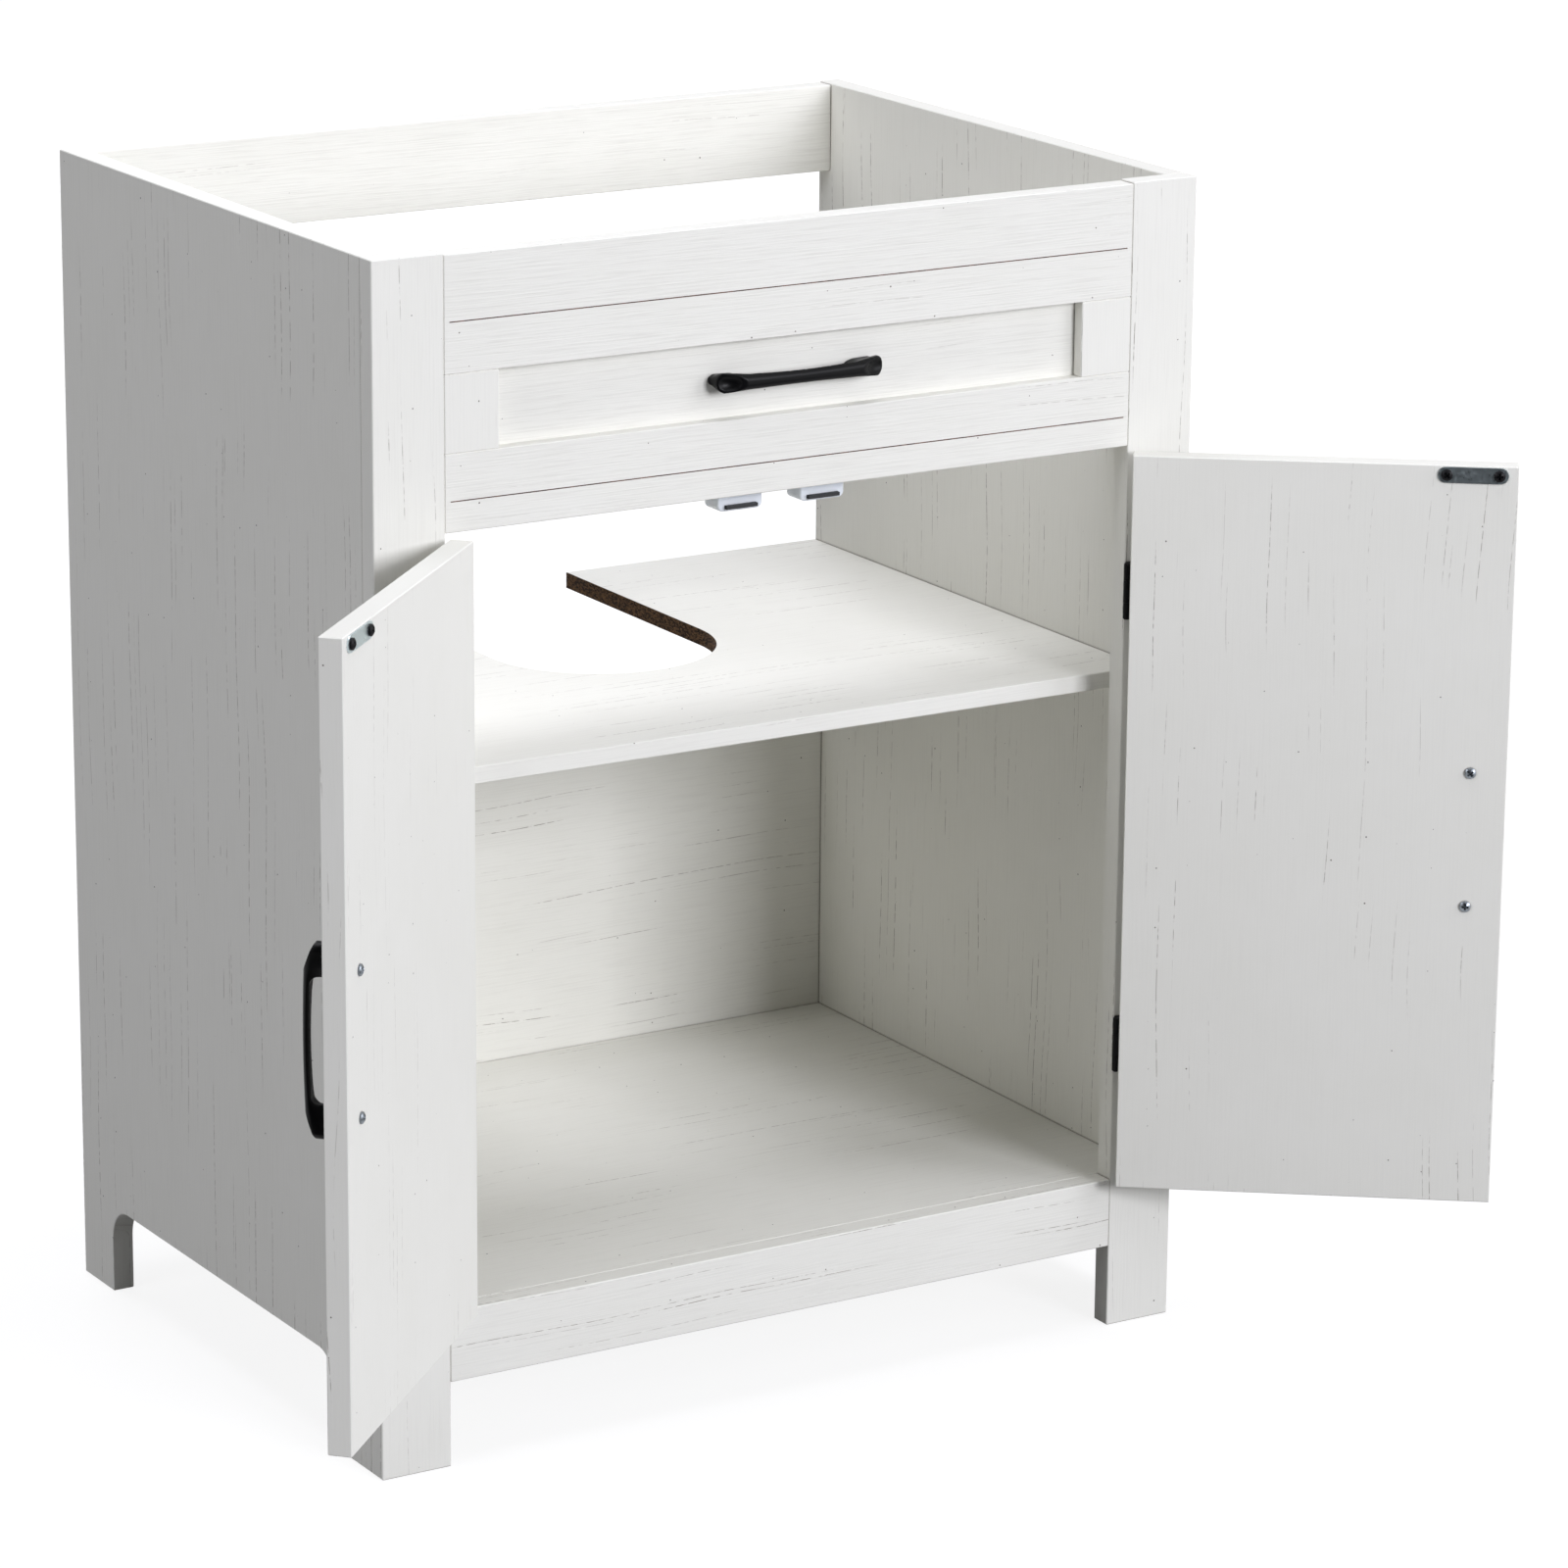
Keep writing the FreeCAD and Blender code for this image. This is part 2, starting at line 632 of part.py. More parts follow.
def round_tips(body, name):
    """Rounds both tips as they are seen from the front."""
    tip, half, ease = DIM["handle_length"] / 2, DIM["handle_end_width"] / 2, DIM["handle_tip_round"]
    plan = new_sketch(body, "XY_Plane", f"{name}_plan")
    for sign in (-1, 1):
        near, far, end = (tip - ease) * sign, (tip + PAST) * sign, tip * sign
        outline(
            plan,
            [
                (near, half),
                (near, half + PAST),
                (far, half + PAST),
                (far, -half - PAST),
                (near, -half - PAST),
                (near, -half),
                (end, ease - half),
                (end, half - ease),
            ],
            {5: (ease, -sign), 7: (ease, -sign)},
        )
    pocket(body, f"{name}_tips", plan, DIM["handle_rise"] * 3)


def cut_side(body, name, shoulder, crown, tip):
    """Cuts the room for the fingers, both feet flat on the board's face and the two slanted end faces."""
    post, throat = DIM["handle_opening"] / 2, DIM["handle_throat"]
    rise, toe = DIM["handle_rise"], DIM["handle_toe"]
    past = tip + PAST
    under = crown - DIM["handle_grip"]
    arch = bow_radius(post - throat, rise - crown)
    side = new_sketch(body, "XZ_Plane", f"{name}_side")
    outline(
        side,
        [
            (-past, -PAST * 2),
            (past, -PAST * 2),
            (past, 0),
            (post, 0),
            (post, under - throat),
            (post - throat, under),
            (throat - post, under),
            (-post, under - throat),
            (-post, 0),
            (-past, 0),
        ],
        {4: (throat, -1), 5: (arch, -1), 6: (throat, -1)},
    )
    for sign in (-1, 1):
        points = [(shoulder, crown), (shoulder, rise), (past, rise), (past, toe), (tip, toe)]
        outline(side, [(x * sign, z) for x, z in points], {})
    pocket(body, f"{name}_ends", side, DIM["handle_end_width"] * 2)


def pocket(body, name, sketch, length):
    doc.recompute()
    cut = body.newObject("PartDesign::Pocket", name)
    cut.Profile = sketch
    cut.Midplane = True
    bind(cut, "Length", length)


def dish(body, name, sign, shoulder, crown, tip):
    """A ring's outer side dips into a slanted face and leaves an oval hollow there."""
    length, width, depth = (DIM[f"dish_{part}"] for part in ("length", "width", "depth"))
    across, around = bow_radius(width / 2, depth), bow_radius(length / 2, depth)
    toe, lift = DIM["handle_toe"], around - depth
    slope = math.atan2(crown.value - toe.value, tip.value - shoulder.value)
    ring = body.newObject("PartDesign::SubtractiveTorus", name)
    bind(ring, "Radius1", around - across)
    bind(ring, "Radius2", across)
    ring.Placement = Placement(Vector(), Rotation(AXES["+z"], AXES["+y"]))
    shift, run, fall = DIM["dish_shift"], math.cos(slope), math.sin(slope)
    x = (tip + shoulder) / 2 + lift * fall + shift * run
    z = (crown + toe) / 2 + lift * run - shift * fall
    put(ring, (x * sign, 0, z))


def mount_handle(name, where, turn, screw_seats, screw_axis, bite, panel, place=None):
    """Stands a handle on a board and holds it with two machine screws through that board."""
    body = handle(name)
    body.Placement = Placement(Vector(), turn)
    put(body, where)
    screws = []
    for n, seat in enumerate(screw_seats):
        screws.append(pan_screw(f"{name}_screw_{n}", seat, screw_axis, DIM["handle_screw_radius"], bite))
        inward = screw_axis.translate(str.maketrans("+-", "-+"))
        hole = rod(
            f"{name}_screw_{n}_hole",
            along(seat, screw_axis, PAST),
            inward,
            DIM["handle_screw_radius"] + FIT,
            bite + PAST * 2,
        )
        bore((name, panel), hole)
    bored(name, body, place)
    node(f"{name}_screws", group(f"{name}_screw_group", screws), place)


# Hinges, in the frame of a pin: origin on its axis at floor level, the boards' faces at pin_out


def leaf(label, reach_sign, middle, own_mid, place):
    """One hinge leaf on a board's face. A door's has the middle knuckle, a stile's the outer two."""
    tall, sheet = DIM["leaf_height"] / 2, DIM["leaf_sheet"]
    face, face_front = DIM["pin_out"], DIM["pin_out"] - sheet
    low, high = span(reach_sign, 0, DIM["leaf_reach"])
    plate = box(f"{label}_plate", (low, face_front, middle - tall), (high, face, middle + tall))
    split, play = DIM["knuckle_mid"] / 2, DIM["knuckle_gap"] / 2
    cone, barrel = DIM["barrel_cone"], DIM["barrel_radius"]
    members, cutters = [plate], []
    clear_low, clear_high = span(reach_sign, -PAST, barrel + DIM["knuckle_gap"] * 1.5)
    if own_mid:
        start = (0, 0, middle - split + play)
        members.append(rod(f"{label}_knuckle", start, "+z", barrel, (split - play) * 2))
        gaps = ((middle - tall - PAST, middle - split + play), (middle + split - play, middle + tall + PAST))
    else:
        for n, axis in enumerate(("-z", "+z")):
            start = along((0, 0, middle), axis, split + play)
            length = tall - split - play - cone
            members.append(rod(f"{label}_knuckle_{n}", start, axis, barrel, length))
            tip = along(start, axis, length)
            members.append(taper(f"{label}_tip_{n}", tip, axis, barrel, barrel - cone, cone))
        gaps = ((middle - split - play, middle + split + play),)
    for n, (gap_low, gap_high) in enumerate(gaps):
        low_corner = (clear_low, face_front - PAST, gap_low)
        cutters.append(box(f"{label}_gap_{n}", low_corner, (clear_high, face + PAST, gap_high)))
    start = (0, 0, middle - tall - PAST)
    cutters.append(rod(f"{label}_eye", start, "+z", DIM["pin_radius"] + FIT, DIM["leaf_height"] + PAST * 2))
    wide, deep = DIM["flat_head_radius"] + FIT, DIM["flat_head_depth"] + FIT
    screws = []
    for n, shift in enumerate((-1, 1)):
        spot = (DIM["leaf_hole_reach"] * reach_sign, face_front, middle + DIM["leaf_hole_pitch"] / 2 * shift)
        cutters.append(taper(f"{label}_sink_{n}", spot, "+y", wide, wide * 0.65, deep))
        cutters.append(rod(f"{label}_hole_{n}", along(spot, "+y", -PAST), "+y", wide * 0.65, PAST * 4))
        screws.append(flat_screw(f"{label}_screw_{n}", spot, "-y"))
    cut = doc.addObject("Part::Cut", f"{label}_cut")
    cut.Base = fuse(f"{label}_blank", members)
    cut.Tool = group(f"{label}_cutters", cutters)
    node(label, cut, place)
    return screws


def leaf_pilots(name, reach_x, face_y, middle):
    """Pilot bores for one leaf's two screws, in the board that carries it."""
    radius, deep = DIM["wood_screw_radius"] + FIT, DIM["wood_screw_bite"] + PAST * 2
    for shift in (-1, 1):
        spot = (reach_x, face_y - PAST, middle + DIM["leaf_hole_pitch"] / 2 * shift)
        bore((name,), rod(f"{name}_pilot", spot, "+y", radius, deep))


def hinge_pilots():
    for hand, sign in SIDES:
        for level, middle in HINGES:
            leaf_pilots(f"{hand}_stile", (PIN_X + DIM["leaf_hole_reach"]) * sign, FRONT, middle)
            leaf_pilots(f"{hand}_door_panel", -DIM["leaf_hole_reach"] * sign, DOOR_FACE, middle)


def hinges():
    stile_screws = []
    for hand, sign in SIDES:
        standing = ((PIN_X * sign, PIN_Y, 0), sized(0))
        door_screws = []
        for level, middle in HINGES:
            name = f"{hand}_{level}"
            fixed = leaf(f"{name}_stile_leaf", sign, middle, False, standing)
            set_apart = group(f"{name}_stile_screws", fixed)
            put(set_apart, standing[0])
            stile_screws.append(set_apart)
            door_screws += leaf(f"{name}_door_leaf", -sign, middle, True, on_door(sign))
            low = (PIN_X * sign, PIN_Y, middle - DIM["leaf_height"] / 2)
            node(f"{name}_hinge_pin", rod(f"{name}_pin", low, "+z", DIM["pin_radius"], DIM["leaf_height"]))
        node(f"{hand}_door_hinge_screws", group(f"{hand}_door_leaf_screws", door_screws), on_door(sign))
    node("stile_hinge_screws", group("stile_leaf_screws", stile_screws))


# Doors, in the frame of their pin


def door(hand, sign):
    place = on_door(sign)
    name = f"{hand}_door_panel"
    near, far = GAP + DIM["pin_aside"], DOOR_FREE
    low, high = span(-sign, near, far)
    blank = board(name, (low, DOOR_FACE, DOOR_LOW), (high, DOOR_INSIDE, DOOR_HIGH))
    frame = DIM["door_frame"]
    low, high = span(-sign, near + frame, far - frame)
    field = box(
        f"{name}_field",
        (low, DOOR_FACE - PAST, DOOR_LOW + frame),
        (high, DOOR_FACE + DIM["door_sink"], DOOR_HIGH - frame),
    )
    bore((name,), field)
    strike(hand, sign, name, place)
    grip_x = (far - DIM["handle_edge_inset"]) * -sign
    half_pitch = DIM["handle_centres"] / 2
    seats = [(grip_x, DOOR_INSIDE, DOOR_MID + half_pitch * n) for n in (-1, 1)]
    upright = Rotation(AXES["+z"], AXES["-x"], AXES["-y"], "XYZ")
    where = (grip_x, DOOR_FACE, DOOR_MID)
    bite = BOARD + DIM["handle_screw_bite"]
    mount_handle(f"{hand}_door_handle", where, upright, seats, "+y", bite, name, place)
    bored(name, blank, place)


def strike(hand, sign, panel, place):
    """The catch's steel plate on the inside of a door, with its two screws."""
    name = f"{hand}_strike_plate"
    middle = PIN_X - DIM["catch_offset"]
    half, tall = DIM["strike_length"] / 2, DIM["strike_height"] / 2
    z = DOOR_HIGH - DIM["strike_drop"]
    low, high = span(-sign, middle - half + tall, middle + half - tall)
    back = DOOR_INSIDE + DIM["strike_sheet"]
    members = [box(f"{name}_middle", (low, DOOR_INSIDE, z - tall), (high, back, z + tall))]
    for n, x in enumerate((low, high)):
        members.append(rod(f"{name}_end_{n}", (x, DOOR_INSIDE, z), "+y", tall, DIM["strike_sheet"]))
    screws = []
    radius = DIM["wood_screw_radius"]
    for n, shift in enumerate((-1, 1)):
        seat = (-middle * sign + DIM["strike_hole_pitch"] / 2 * shift, back, z)
        bite = DIM["wood_screw_bite"] + DIM["strike_sheet"]
        screws.append(pan_screw(f"{hand}_strike_screw_{n}", seat, "+y", radius, bite))
        hole = rod(f"{name}_hole_{n}", along(seat, "+y", PAST), "-y", radius + FIT, bite + PAST * 2)
        bore((name, panel), hole)
    bored(name, fuse(f"{name}_blank", members), place)
    node(f"{hand}_strike_screws", group(f"{hand}_strike_screw_group", screws), place)


# Magnetic catches under the stretcher


def catches():
    magnets, screws = [], []
    shut_plate = FRONT_REAR + DIM["strike_sheet"]
    face = shut_plate + DIM["magnet_air"] + DIM["magnet_proud"]
    half, ear, sheet = DIM["catch_width"] / 2, DIM["catch_ears"] / 2, -DIM["catch_ear_sheet"]
    drop, corner = -DIM["catch_drop"], DIM["catch_corner"]
    for hand, sign in SIDES:
        name = f"{hand}_catch_housing"
        body = doc.addObject("PartDesign::Body", f"{name}_body")
        sketch = new_sketch(body, "XZ_Plane", f"{name}_front")
        outline(
            sketch,
            [
                (-ear, 0),
                (-ear, sheet),
                (-half, sheet),
                (-half, drop + corner),
                (corner - half, drop),
                (half - corner, drop),
                (half, drop + corner),
                (half, sheet),
                (ear, sheet),
                (ear, 0),
            ],
            {3: (corner, -1), 5: (corner, -1)},
        )
        pad = body.newObject("PartDesign::Pad", f"{name}_pad")
        pad.Profile = sketch
        pad.Reversed = True
        bind(pad, "Length", DIM["catch_depth"])
        bevel(body, pad)
        x = DIM["catch_offset"] * sign
        put(body, (x, face, APRON_LOW))
        wide, thick = DIM["magnet_width"] / 2, DIM["magnet_thick"] / 2
        z = APRON_LOW + drop + DIM["magnet_rise"]
        start = face - DIM["magnet_proud"]
        rear = start + DIM["magnet_depth"]
        magnets.append(box(f"{hand}_magnet", (x - wide, start, z - thick), (x + wide, rear, z + thick)))
        room = (x - wide - FIT, start, z - thick - FIT), (x + wide + FIT, rear + FIT, z + thick + FIT)
        bore((name,), box(f"{hand}_magnet_slot", *room))
        for n, shift in enumerate((-1, 1)):
            spot = x + DIM["catch_hole_pitch"] / 2 * shift
            seat = (spot, face + DIM["catch_depth"] / 2, APRON_LOW + sheet)
            radius, bite = DIM["wood_screw_radius"], DIM["wood_screw_bite"] + DIM["catch_ear_sheet"]
            screws.append(pan_screw(f"{hand}_catch_screw_{n}", seat, "-z", radius, bite))
            hole = rod(f"{hand}_catch_hole_{n}", along(seat, "-z", PAST), "+z", radius + FIT, bite + PAST * 2)
            bore((name, "front_stretcher"), hole)
        bored(name, body)
    node("catch_magnets", group("catch_magnet_pair", magnets))
    node("catch_screws", group("catch_screw_group", screws))


def fixed_handle():
    middle = (FIELD_LOW + FIELD_HIGH) / 2
    rear = FIELD_FACE + DIM["field_panel"]
    seats = [(DIM["handle_centres"] / 2 * n, rear, middle) for n in (-1, 1)]
    level = Rotation(AXES["+x"], AXES["+z"], AXES["-y"], "XYZ")
    bite = DIM["field_panel"] + DIM["handle_screw_bite"]
    mount_handle("apron_handle", (0, FIELD_FACE, middle), level, seats, "+y", bite, "apron_field_panel")


def build():
    join_boards()
    hinge_pilots()
    catches()
    fixed_handle()
    for hand, sign in SIDES:
        door(hand, sign)
    hinges()
    carcass()
    doc.recompute()


def check():
    for item in doc.Objects:
        if {"Invalid", "Error"} & set(item.State):
            raise RuntimeError(f"{item.Name} failed: {item.State}")
    for label, item in nodes.items():
        if item.Shape.isNull() or not item.Shape.isValid() or not item.Shape.Solids:
            raise RuntimeError(f"{label} has no valid solid")
    if bores:
        raise RuntimeError(f"bores without a board: {sorted(bores)}")


def write():
    os.makedirs("parts", exist_ok=True)
    for label, item in nodes.items():
        item.Shape.exportStep(f"parts/{label}.step")
        solids = item.Shape.Solids
        print(f"{label}: {len(solids)} solids, {sum(s.Volume for s in solids) / 1000:.1f} cm3")


build()
check()
write()
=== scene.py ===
import json
import math
import random

import bmesh
import bpy
from bpy.props import FloatProperty, FloatVectorProperty, PointerProperty
from mathutils import Euler, Matrix, Vector


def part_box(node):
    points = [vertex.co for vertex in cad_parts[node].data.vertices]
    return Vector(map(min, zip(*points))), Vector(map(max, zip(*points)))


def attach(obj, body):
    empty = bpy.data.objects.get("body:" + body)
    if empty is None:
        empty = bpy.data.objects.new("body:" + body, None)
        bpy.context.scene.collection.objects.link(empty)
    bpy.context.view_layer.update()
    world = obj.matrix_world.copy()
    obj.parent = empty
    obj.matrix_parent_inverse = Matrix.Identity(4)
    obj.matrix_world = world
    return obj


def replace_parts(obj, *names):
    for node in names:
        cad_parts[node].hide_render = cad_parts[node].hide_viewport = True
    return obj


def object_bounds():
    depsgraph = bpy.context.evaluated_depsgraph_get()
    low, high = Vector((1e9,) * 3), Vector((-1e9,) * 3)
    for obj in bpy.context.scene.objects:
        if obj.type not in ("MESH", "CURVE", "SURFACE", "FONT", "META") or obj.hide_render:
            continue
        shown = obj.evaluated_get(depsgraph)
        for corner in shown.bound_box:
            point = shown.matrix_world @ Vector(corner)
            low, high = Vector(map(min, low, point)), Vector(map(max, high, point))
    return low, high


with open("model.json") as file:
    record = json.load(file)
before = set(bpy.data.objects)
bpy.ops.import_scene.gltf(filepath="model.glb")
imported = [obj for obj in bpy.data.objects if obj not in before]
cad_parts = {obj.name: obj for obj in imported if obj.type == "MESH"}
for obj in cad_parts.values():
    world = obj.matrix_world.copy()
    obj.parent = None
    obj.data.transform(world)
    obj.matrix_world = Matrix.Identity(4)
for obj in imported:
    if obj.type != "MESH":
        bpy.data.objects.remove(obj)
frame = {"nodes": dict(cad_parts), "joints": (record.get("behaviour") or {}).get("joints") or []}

bl_info = {
    "name": "Whitewashed vanity unit",
    "version": (1, 0, 0),
    "blender": (4, 5, 0),
    "location": "View3D > Sidebar > Vanity",
    "description": "Finishes, raw board edges, screws and a studio stage for a bathroom vanity unit",
    "category": "Object",
}

CAD_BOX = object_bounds()
MM = 0.001
NODES = frame["nodes"]

CASE_BOARDS = ("left_side_panel", "right_side_panel", "left_stile", "right_stile")
DOOR_BOARDS = ("left_door_panel", "right_door_panel")
FRONT_ENDS = ("apron_left_end", "apron_right_end")
FRONT_BOARDS = ("apron_top_rail", "apron_bottom_rail", "apron_field_panel", "back_top_rail")
INNER_BOARDS = ("bottom_rail", "bottom_panel", "back_panel", "front_stretcher", "shelf")
HANDS = ("left", "right")
LEVELS = ("upper", "lower")
UPRIGHT, LEVEL = (0, 0, 1), (1, 0, 0)

# Vertices this close are one, and edges flatter than this many degrees are shaded smooth.
TOUCH, SMOOTH_BELOW = MM / 1000, 38

# Radius of a pan head, and of the shank under it for each finish of screw, in millimetres.
HEAD, SHANKS = 3.9, {"zinc_plate": 2.0, "black_metal": 1.5}
# Share of the shank's radius that is left at its point.
POINT_SHARE = 0.6
# Each cross is turned on from the one before by this many radians.
SCREW_TWIST, CAM_TWIST = 0.7, 0.4

# Shares of its half width at which a grain line begins to show and shows fully, and the faintest line.
LINE_EDGE, LINE_FAINT = (1.2, 0.5), 0.35
# Levels of the noises between which a grain line fades in. Boards with more lines lower the last pair.
SPELL, DASH, GROUP, GROUP_DROP = (0.5, 0.6), (0.36, 0.58), (0.62, 0.7), 0.2
# Boards take their print from places up to this many metres apart, lines theirs from rows this far apart.
PRINT_APART, ROWS_APART = 9.0, 50.0
# Share of the grid's cells without a pore.
PORELESS = 0.78
# Open share of the surroundings at which the painted shade and dirt in a joint begin and are full.
JOINT_OPEN = (0.85, 0.3)
# Levels between which the ripples are printed, how dark they are, and how a line is pressed beside them.
RIPPLE, RIPPLE_DARK, LINE_PRESS = (0.5, 0.75), 0.09, -0.6

# The photograph's camera, fitted to the carcass corners: metres, degrees, and its focal length in pixels.
CAMERA_SPOT = (-2.0852, -3.6306, 1.5646)
CAMERA_TURN, CAMERA_RISE, CAMERA_ROLL = -31.43, 15.768, 0.506
FOCAL_PIXELS, FRAME_PIXELS, SENSOR_MM = 6274.1, 1600, 36

# Dark cards that paint a dark reflection into metal: their edge in metres, then name, place in metres, tilt
# and turn in degrees.
FLAG_SIZE = 3.6
FLAGS = (("lying", (-1.15, -2.55, 0.02), 0, 0), ("upright", (-1.04, -2.0, 1.8), 90, -42.5))

# Softboxes point at the unit's middle: name, bearing and height in degrees, distance and edge in metres.
MIDDLE = Vector((0, 0, CAD_BOX[1][2] / 2))
SOFTBOXES = (
    ("key", 10, 16, 7.5, 2.2),
    ("fill", 42, 22, 6.0, 3.0),
    ("side", -84, 24, 5.4, 3.0),
    ("top", 0, 88, 3.8, 2.5),
    ("rear", 192, 60, 4.4, 2.5),
    ("back", 168, 12, 6.0, 3.0),
)


def colour(code):
    """An sRGB hex value as linear red, green and blue."""
    parts = [int(code[n : n + 2], 16) / 255 for n in (1, 3, 5)]
    return tuple(p / 12.92 if p <= 0.04045 else ((p + 0.055) / 1.055) ** 2.4 for p in parts)


def per(millimetres):
    """The scale of a pattern whose cells have this size."""
    return 1 / (millimetres * MM)


def tint(name, code, description):
    return FloatVectorProperty(
        name=name, description=description, default=colour(code), subtype="COLOR", min=0, max=1
    )


def length(name, millimetres, description):
    return FloatProperty(name=name, description=description, default=millimetres * MM, unit="LENGTH", min=0)


def power(name, watts, description):
    return FloatProperty(name=name, description=description, default=watts, unit="POWER", min=0)


def fraction(name, share, description):
    return FloatProperty(name=name, description=description, default=share, subtype="FACTOR", min=0, max=1)


class VanityBoards(bpy.types.PropertyGroup):
    paint: tint("Whitewash", "#EDECE5", "Pale print of the melamine boards")
    cloud: tint("Thin wash", "#E9E8E0", "Where the wash looks thinner")
    streak: tint("Streaks", "#77695E", "Open grain lines that show through the wash")
    speck: tint("Specks", "#77706A", "Small knots and pores")
    # The colour that darkens joints and creases: painted shade where board closes a face in, and dirt.
    dirt: tint("Joint dirt", "#8E857C", "Where boards meet")
    streak_pitch: length("Streak pitch", 10, "Mean distance between the grain lines")
    streak_width: length("Streak width", 0.62, "Width of the grain lines")
    streak_run: length("Streak run", 160, "Mean length of a grain line and of the gap after it")
    wander: length("Wander", 14, "How far the grain lines stray across the board")
    speck_pitch: length("Speck pitch", 24, "Mean distance between specks")
    speck_size: length("Speck size", 0.6, "Radius of the largest specks")
    # Board this close darkens a face with painted shade and dirt.
    joint_reach: length("Joint reach", 2, "Board this close leaves dirt")
    emboss: length("Emboss width", 1.3, "Width of the pressed grain ripples")
    chip: tint("Chips", "#7A5C40", "Wood chips in a raw edge")
    glue: tint("Dark chips", "#2A1D14", "Dark chips and voids in a raw edge")
    chip_size: length("Chip size", 2.2, "Length of the chips in a raw edge")
    core: tint("Milled core", "#866656", "Board core in the milled hairlines")
    core_dark: tint("Dark core", "#4C372C", "Darker chips in the milled hairlines")
    cutout_width: length("Cut-out width", 170, "Width of the shelf's cut-out, round at its end")
    cutout_depth: length("Cut-out depth", 280, "From the shelf's rear edge to the end of the cut-out")
    edge_skin: length("Edge skin", 0.25, "How far the raw edge stands off the cut")
    edge_dent: length("Edge dents", 0.18, "Depth of the torn chips")
    edge_step: length("Edge step", 2.5, "Length of one facet of the raw edge")
    hairline_drop: length("Upper hairline", 44, "From the top of the upper rail down to its hairline")
    hairline_rise: length("Lower hairline", 20.5, "From the bottom of the lower rail up to its hairline")
    hairline_inset: length("Hairline inset", 4.05, "From the end of the rail to the end of the hairline")
    hairline_width: length("Hairline width", 0.72, "Width of the core that shows in a hairline")
    hairline_sunk: length("Hairline depth", 0.3, "From the rail's face to the core that shows")
    hairline_floor: length("Hairline floor", 1.15, "From the rail's face to the floor of the groove")


class VanityHardware(bpy.types.PropertyGroup):
    black: tint("Black coat", "#09090A", "Coating of handles and hinges")
    screw_black: tint("Blackened steel", "#131315", "Strike, catch and hinge screws")
    zinc: tint("Bright zinc", "#D3E0E4", "Strike plates")
    screw_zinc: tint("Dull zinc", "#878D93", "Handle screws")
    cast_zinc: tint("Cast zinc", "#9FA1A3", "Cam locks and bolts")
    housing: tint("Catch plastic", "#E3E8EE", "Moulded catch housings")
    magnet: tint("Ferrite", "#0B0D12", "Magnets of the catches")
    beech: tint("Beech", "#C79F6E", "Dowels")
    grip_thick: length("Grip", 4.4, "Thickness of the grip of a handle")
    grip_round: length("Grip round", 1.8, "Height of the round of the grip's underside")
    grip_bow: length("Bow", 2, "Middle of the grip over its ends")
    grip_flat: fraction("Grip flat", 0.95, "Share of that round's height at which it stops")
    foot_shoulder: length("Shoulder", 45, "Middle of a handle to the upper end of its slanted face")
    foot_toe: length("Toe", 12, "Height of the lower end of that face")
    foot_inner: length("Foot", 41.5, "Middle of a handle to the inner side of its foot")
    foot_middle: length("Foot middle", 51, "Middle of a handle to the widest part of its foot")
    foot_blunt: fraction("Blunt foot", 0.12, "Square of the share of width left at a foot's inner side")
    foot_slim: fraction("Slim foot", 0.4, "How far a foot is drawn in behind its face")
    foot_lip: length("Foot lip", 1, "Depth behind the face at which the taper of a foot starts")
    foot_taper: length("Foot taper", 11, "Depth of that taper")
    foot_blend: length("Foot blend", 8, "Length over which the grip turns into a foot")
    foot_screw: length("Foot screw", 48, "Middle of a handle to its screws")
    foot_bore: length("Foot bore", 2.06, "Radius of the screw's bore, which stays round")
    foot_bite: length("Foot bite", 9, "Depth of that bore")
    foot_facet: length("Foot facet", 1.6, "Longest edge of a facet of a foot")
    head_rise: length("Head rise", 2.8, "Height of a pan head")
    head_rim: length("Head rim", 1.2, "Height of the upright rim of a pan head")
    head_cross: length("Cross depth", 1.7, "Depth of the cross recess in a pan head")
    head_arm: length("Cross arm", 2.3, "Middle of a head to the end of an arm of its cross")
    head_slot: length("Cross slot", 0.65, "Half the width of an arm of the cross")
    point: length("Screw point", 1.2, "Length of the tapered end of a screw")
    cam_cross: length("Cam cross depth", 2.6, "Depth of the cross recess in a cam lock")
    cam_arm: length("Cam cross arm", 4.6, "Middle of a cam lock to the end of an arm of its cross")
    cam_slot: length("Cam cross slot", 1.1, "Half the width of an arm of that cross")


class VanityStage(bpy.types.PropertyGroup):
    floor: tint("Floor", "#7C7C7C", "Studio floor, as it throws light back")
    floor_glow: fraction("Floor glow", 0.86, "Lifts the floor near the unit towards white for the eye")
    floor_near: length("Floor near", 900, "Reach of that lift at full strength, from the unit's middle")
    floor_far: length("Floor far", 3000, "Distance at which the floor is white")
    floor_size: length("Floor size", 60000, "Edge of the floor")
    floor_drop: length("Floor drop", 0.5, "Gap under the feet, so that they don't flicker in the floor")
    # Colour of the painted dark reflection that the cards put into metal.
    card: tint("Cards", "#0A0A0A", "Dark cards that only metal sees")
    sky: fraction("Sky", 0.02, "Strength of the even light from all round")
    light: tint("Light", "#F6F7FF", "Colour of the softboxes, a little cool, so that the wash looks white")
    key: power("Key", 354, "Softbox at the front")
    fill: power("Fill", 118, "Softbox at the right")
    side: power("Side", 88, "Softbox at the left")
    top: power("Top", 80, "Softbox overhead")
    rear: power("Rear", 38, "Softbox high behind the unit")
    back: power("Back", 110, "Softbox low behind the unit")


def add(tree, kind, inputs=None, **settings):
    """Adds a node with its settings. A socket among the inputs is linked, a value is set."""
    node = tree.nodes.new(kind)
    for key, value in settings.items():
        setattr(node, key, value)
    for key, value in (inputs or {}).items():
        if isinstance(value, bpy.types.NodeSocket):
            tree.links.new(value, node.inputs[key])
        else:
            node.inputs[key].default_value = value
    return node


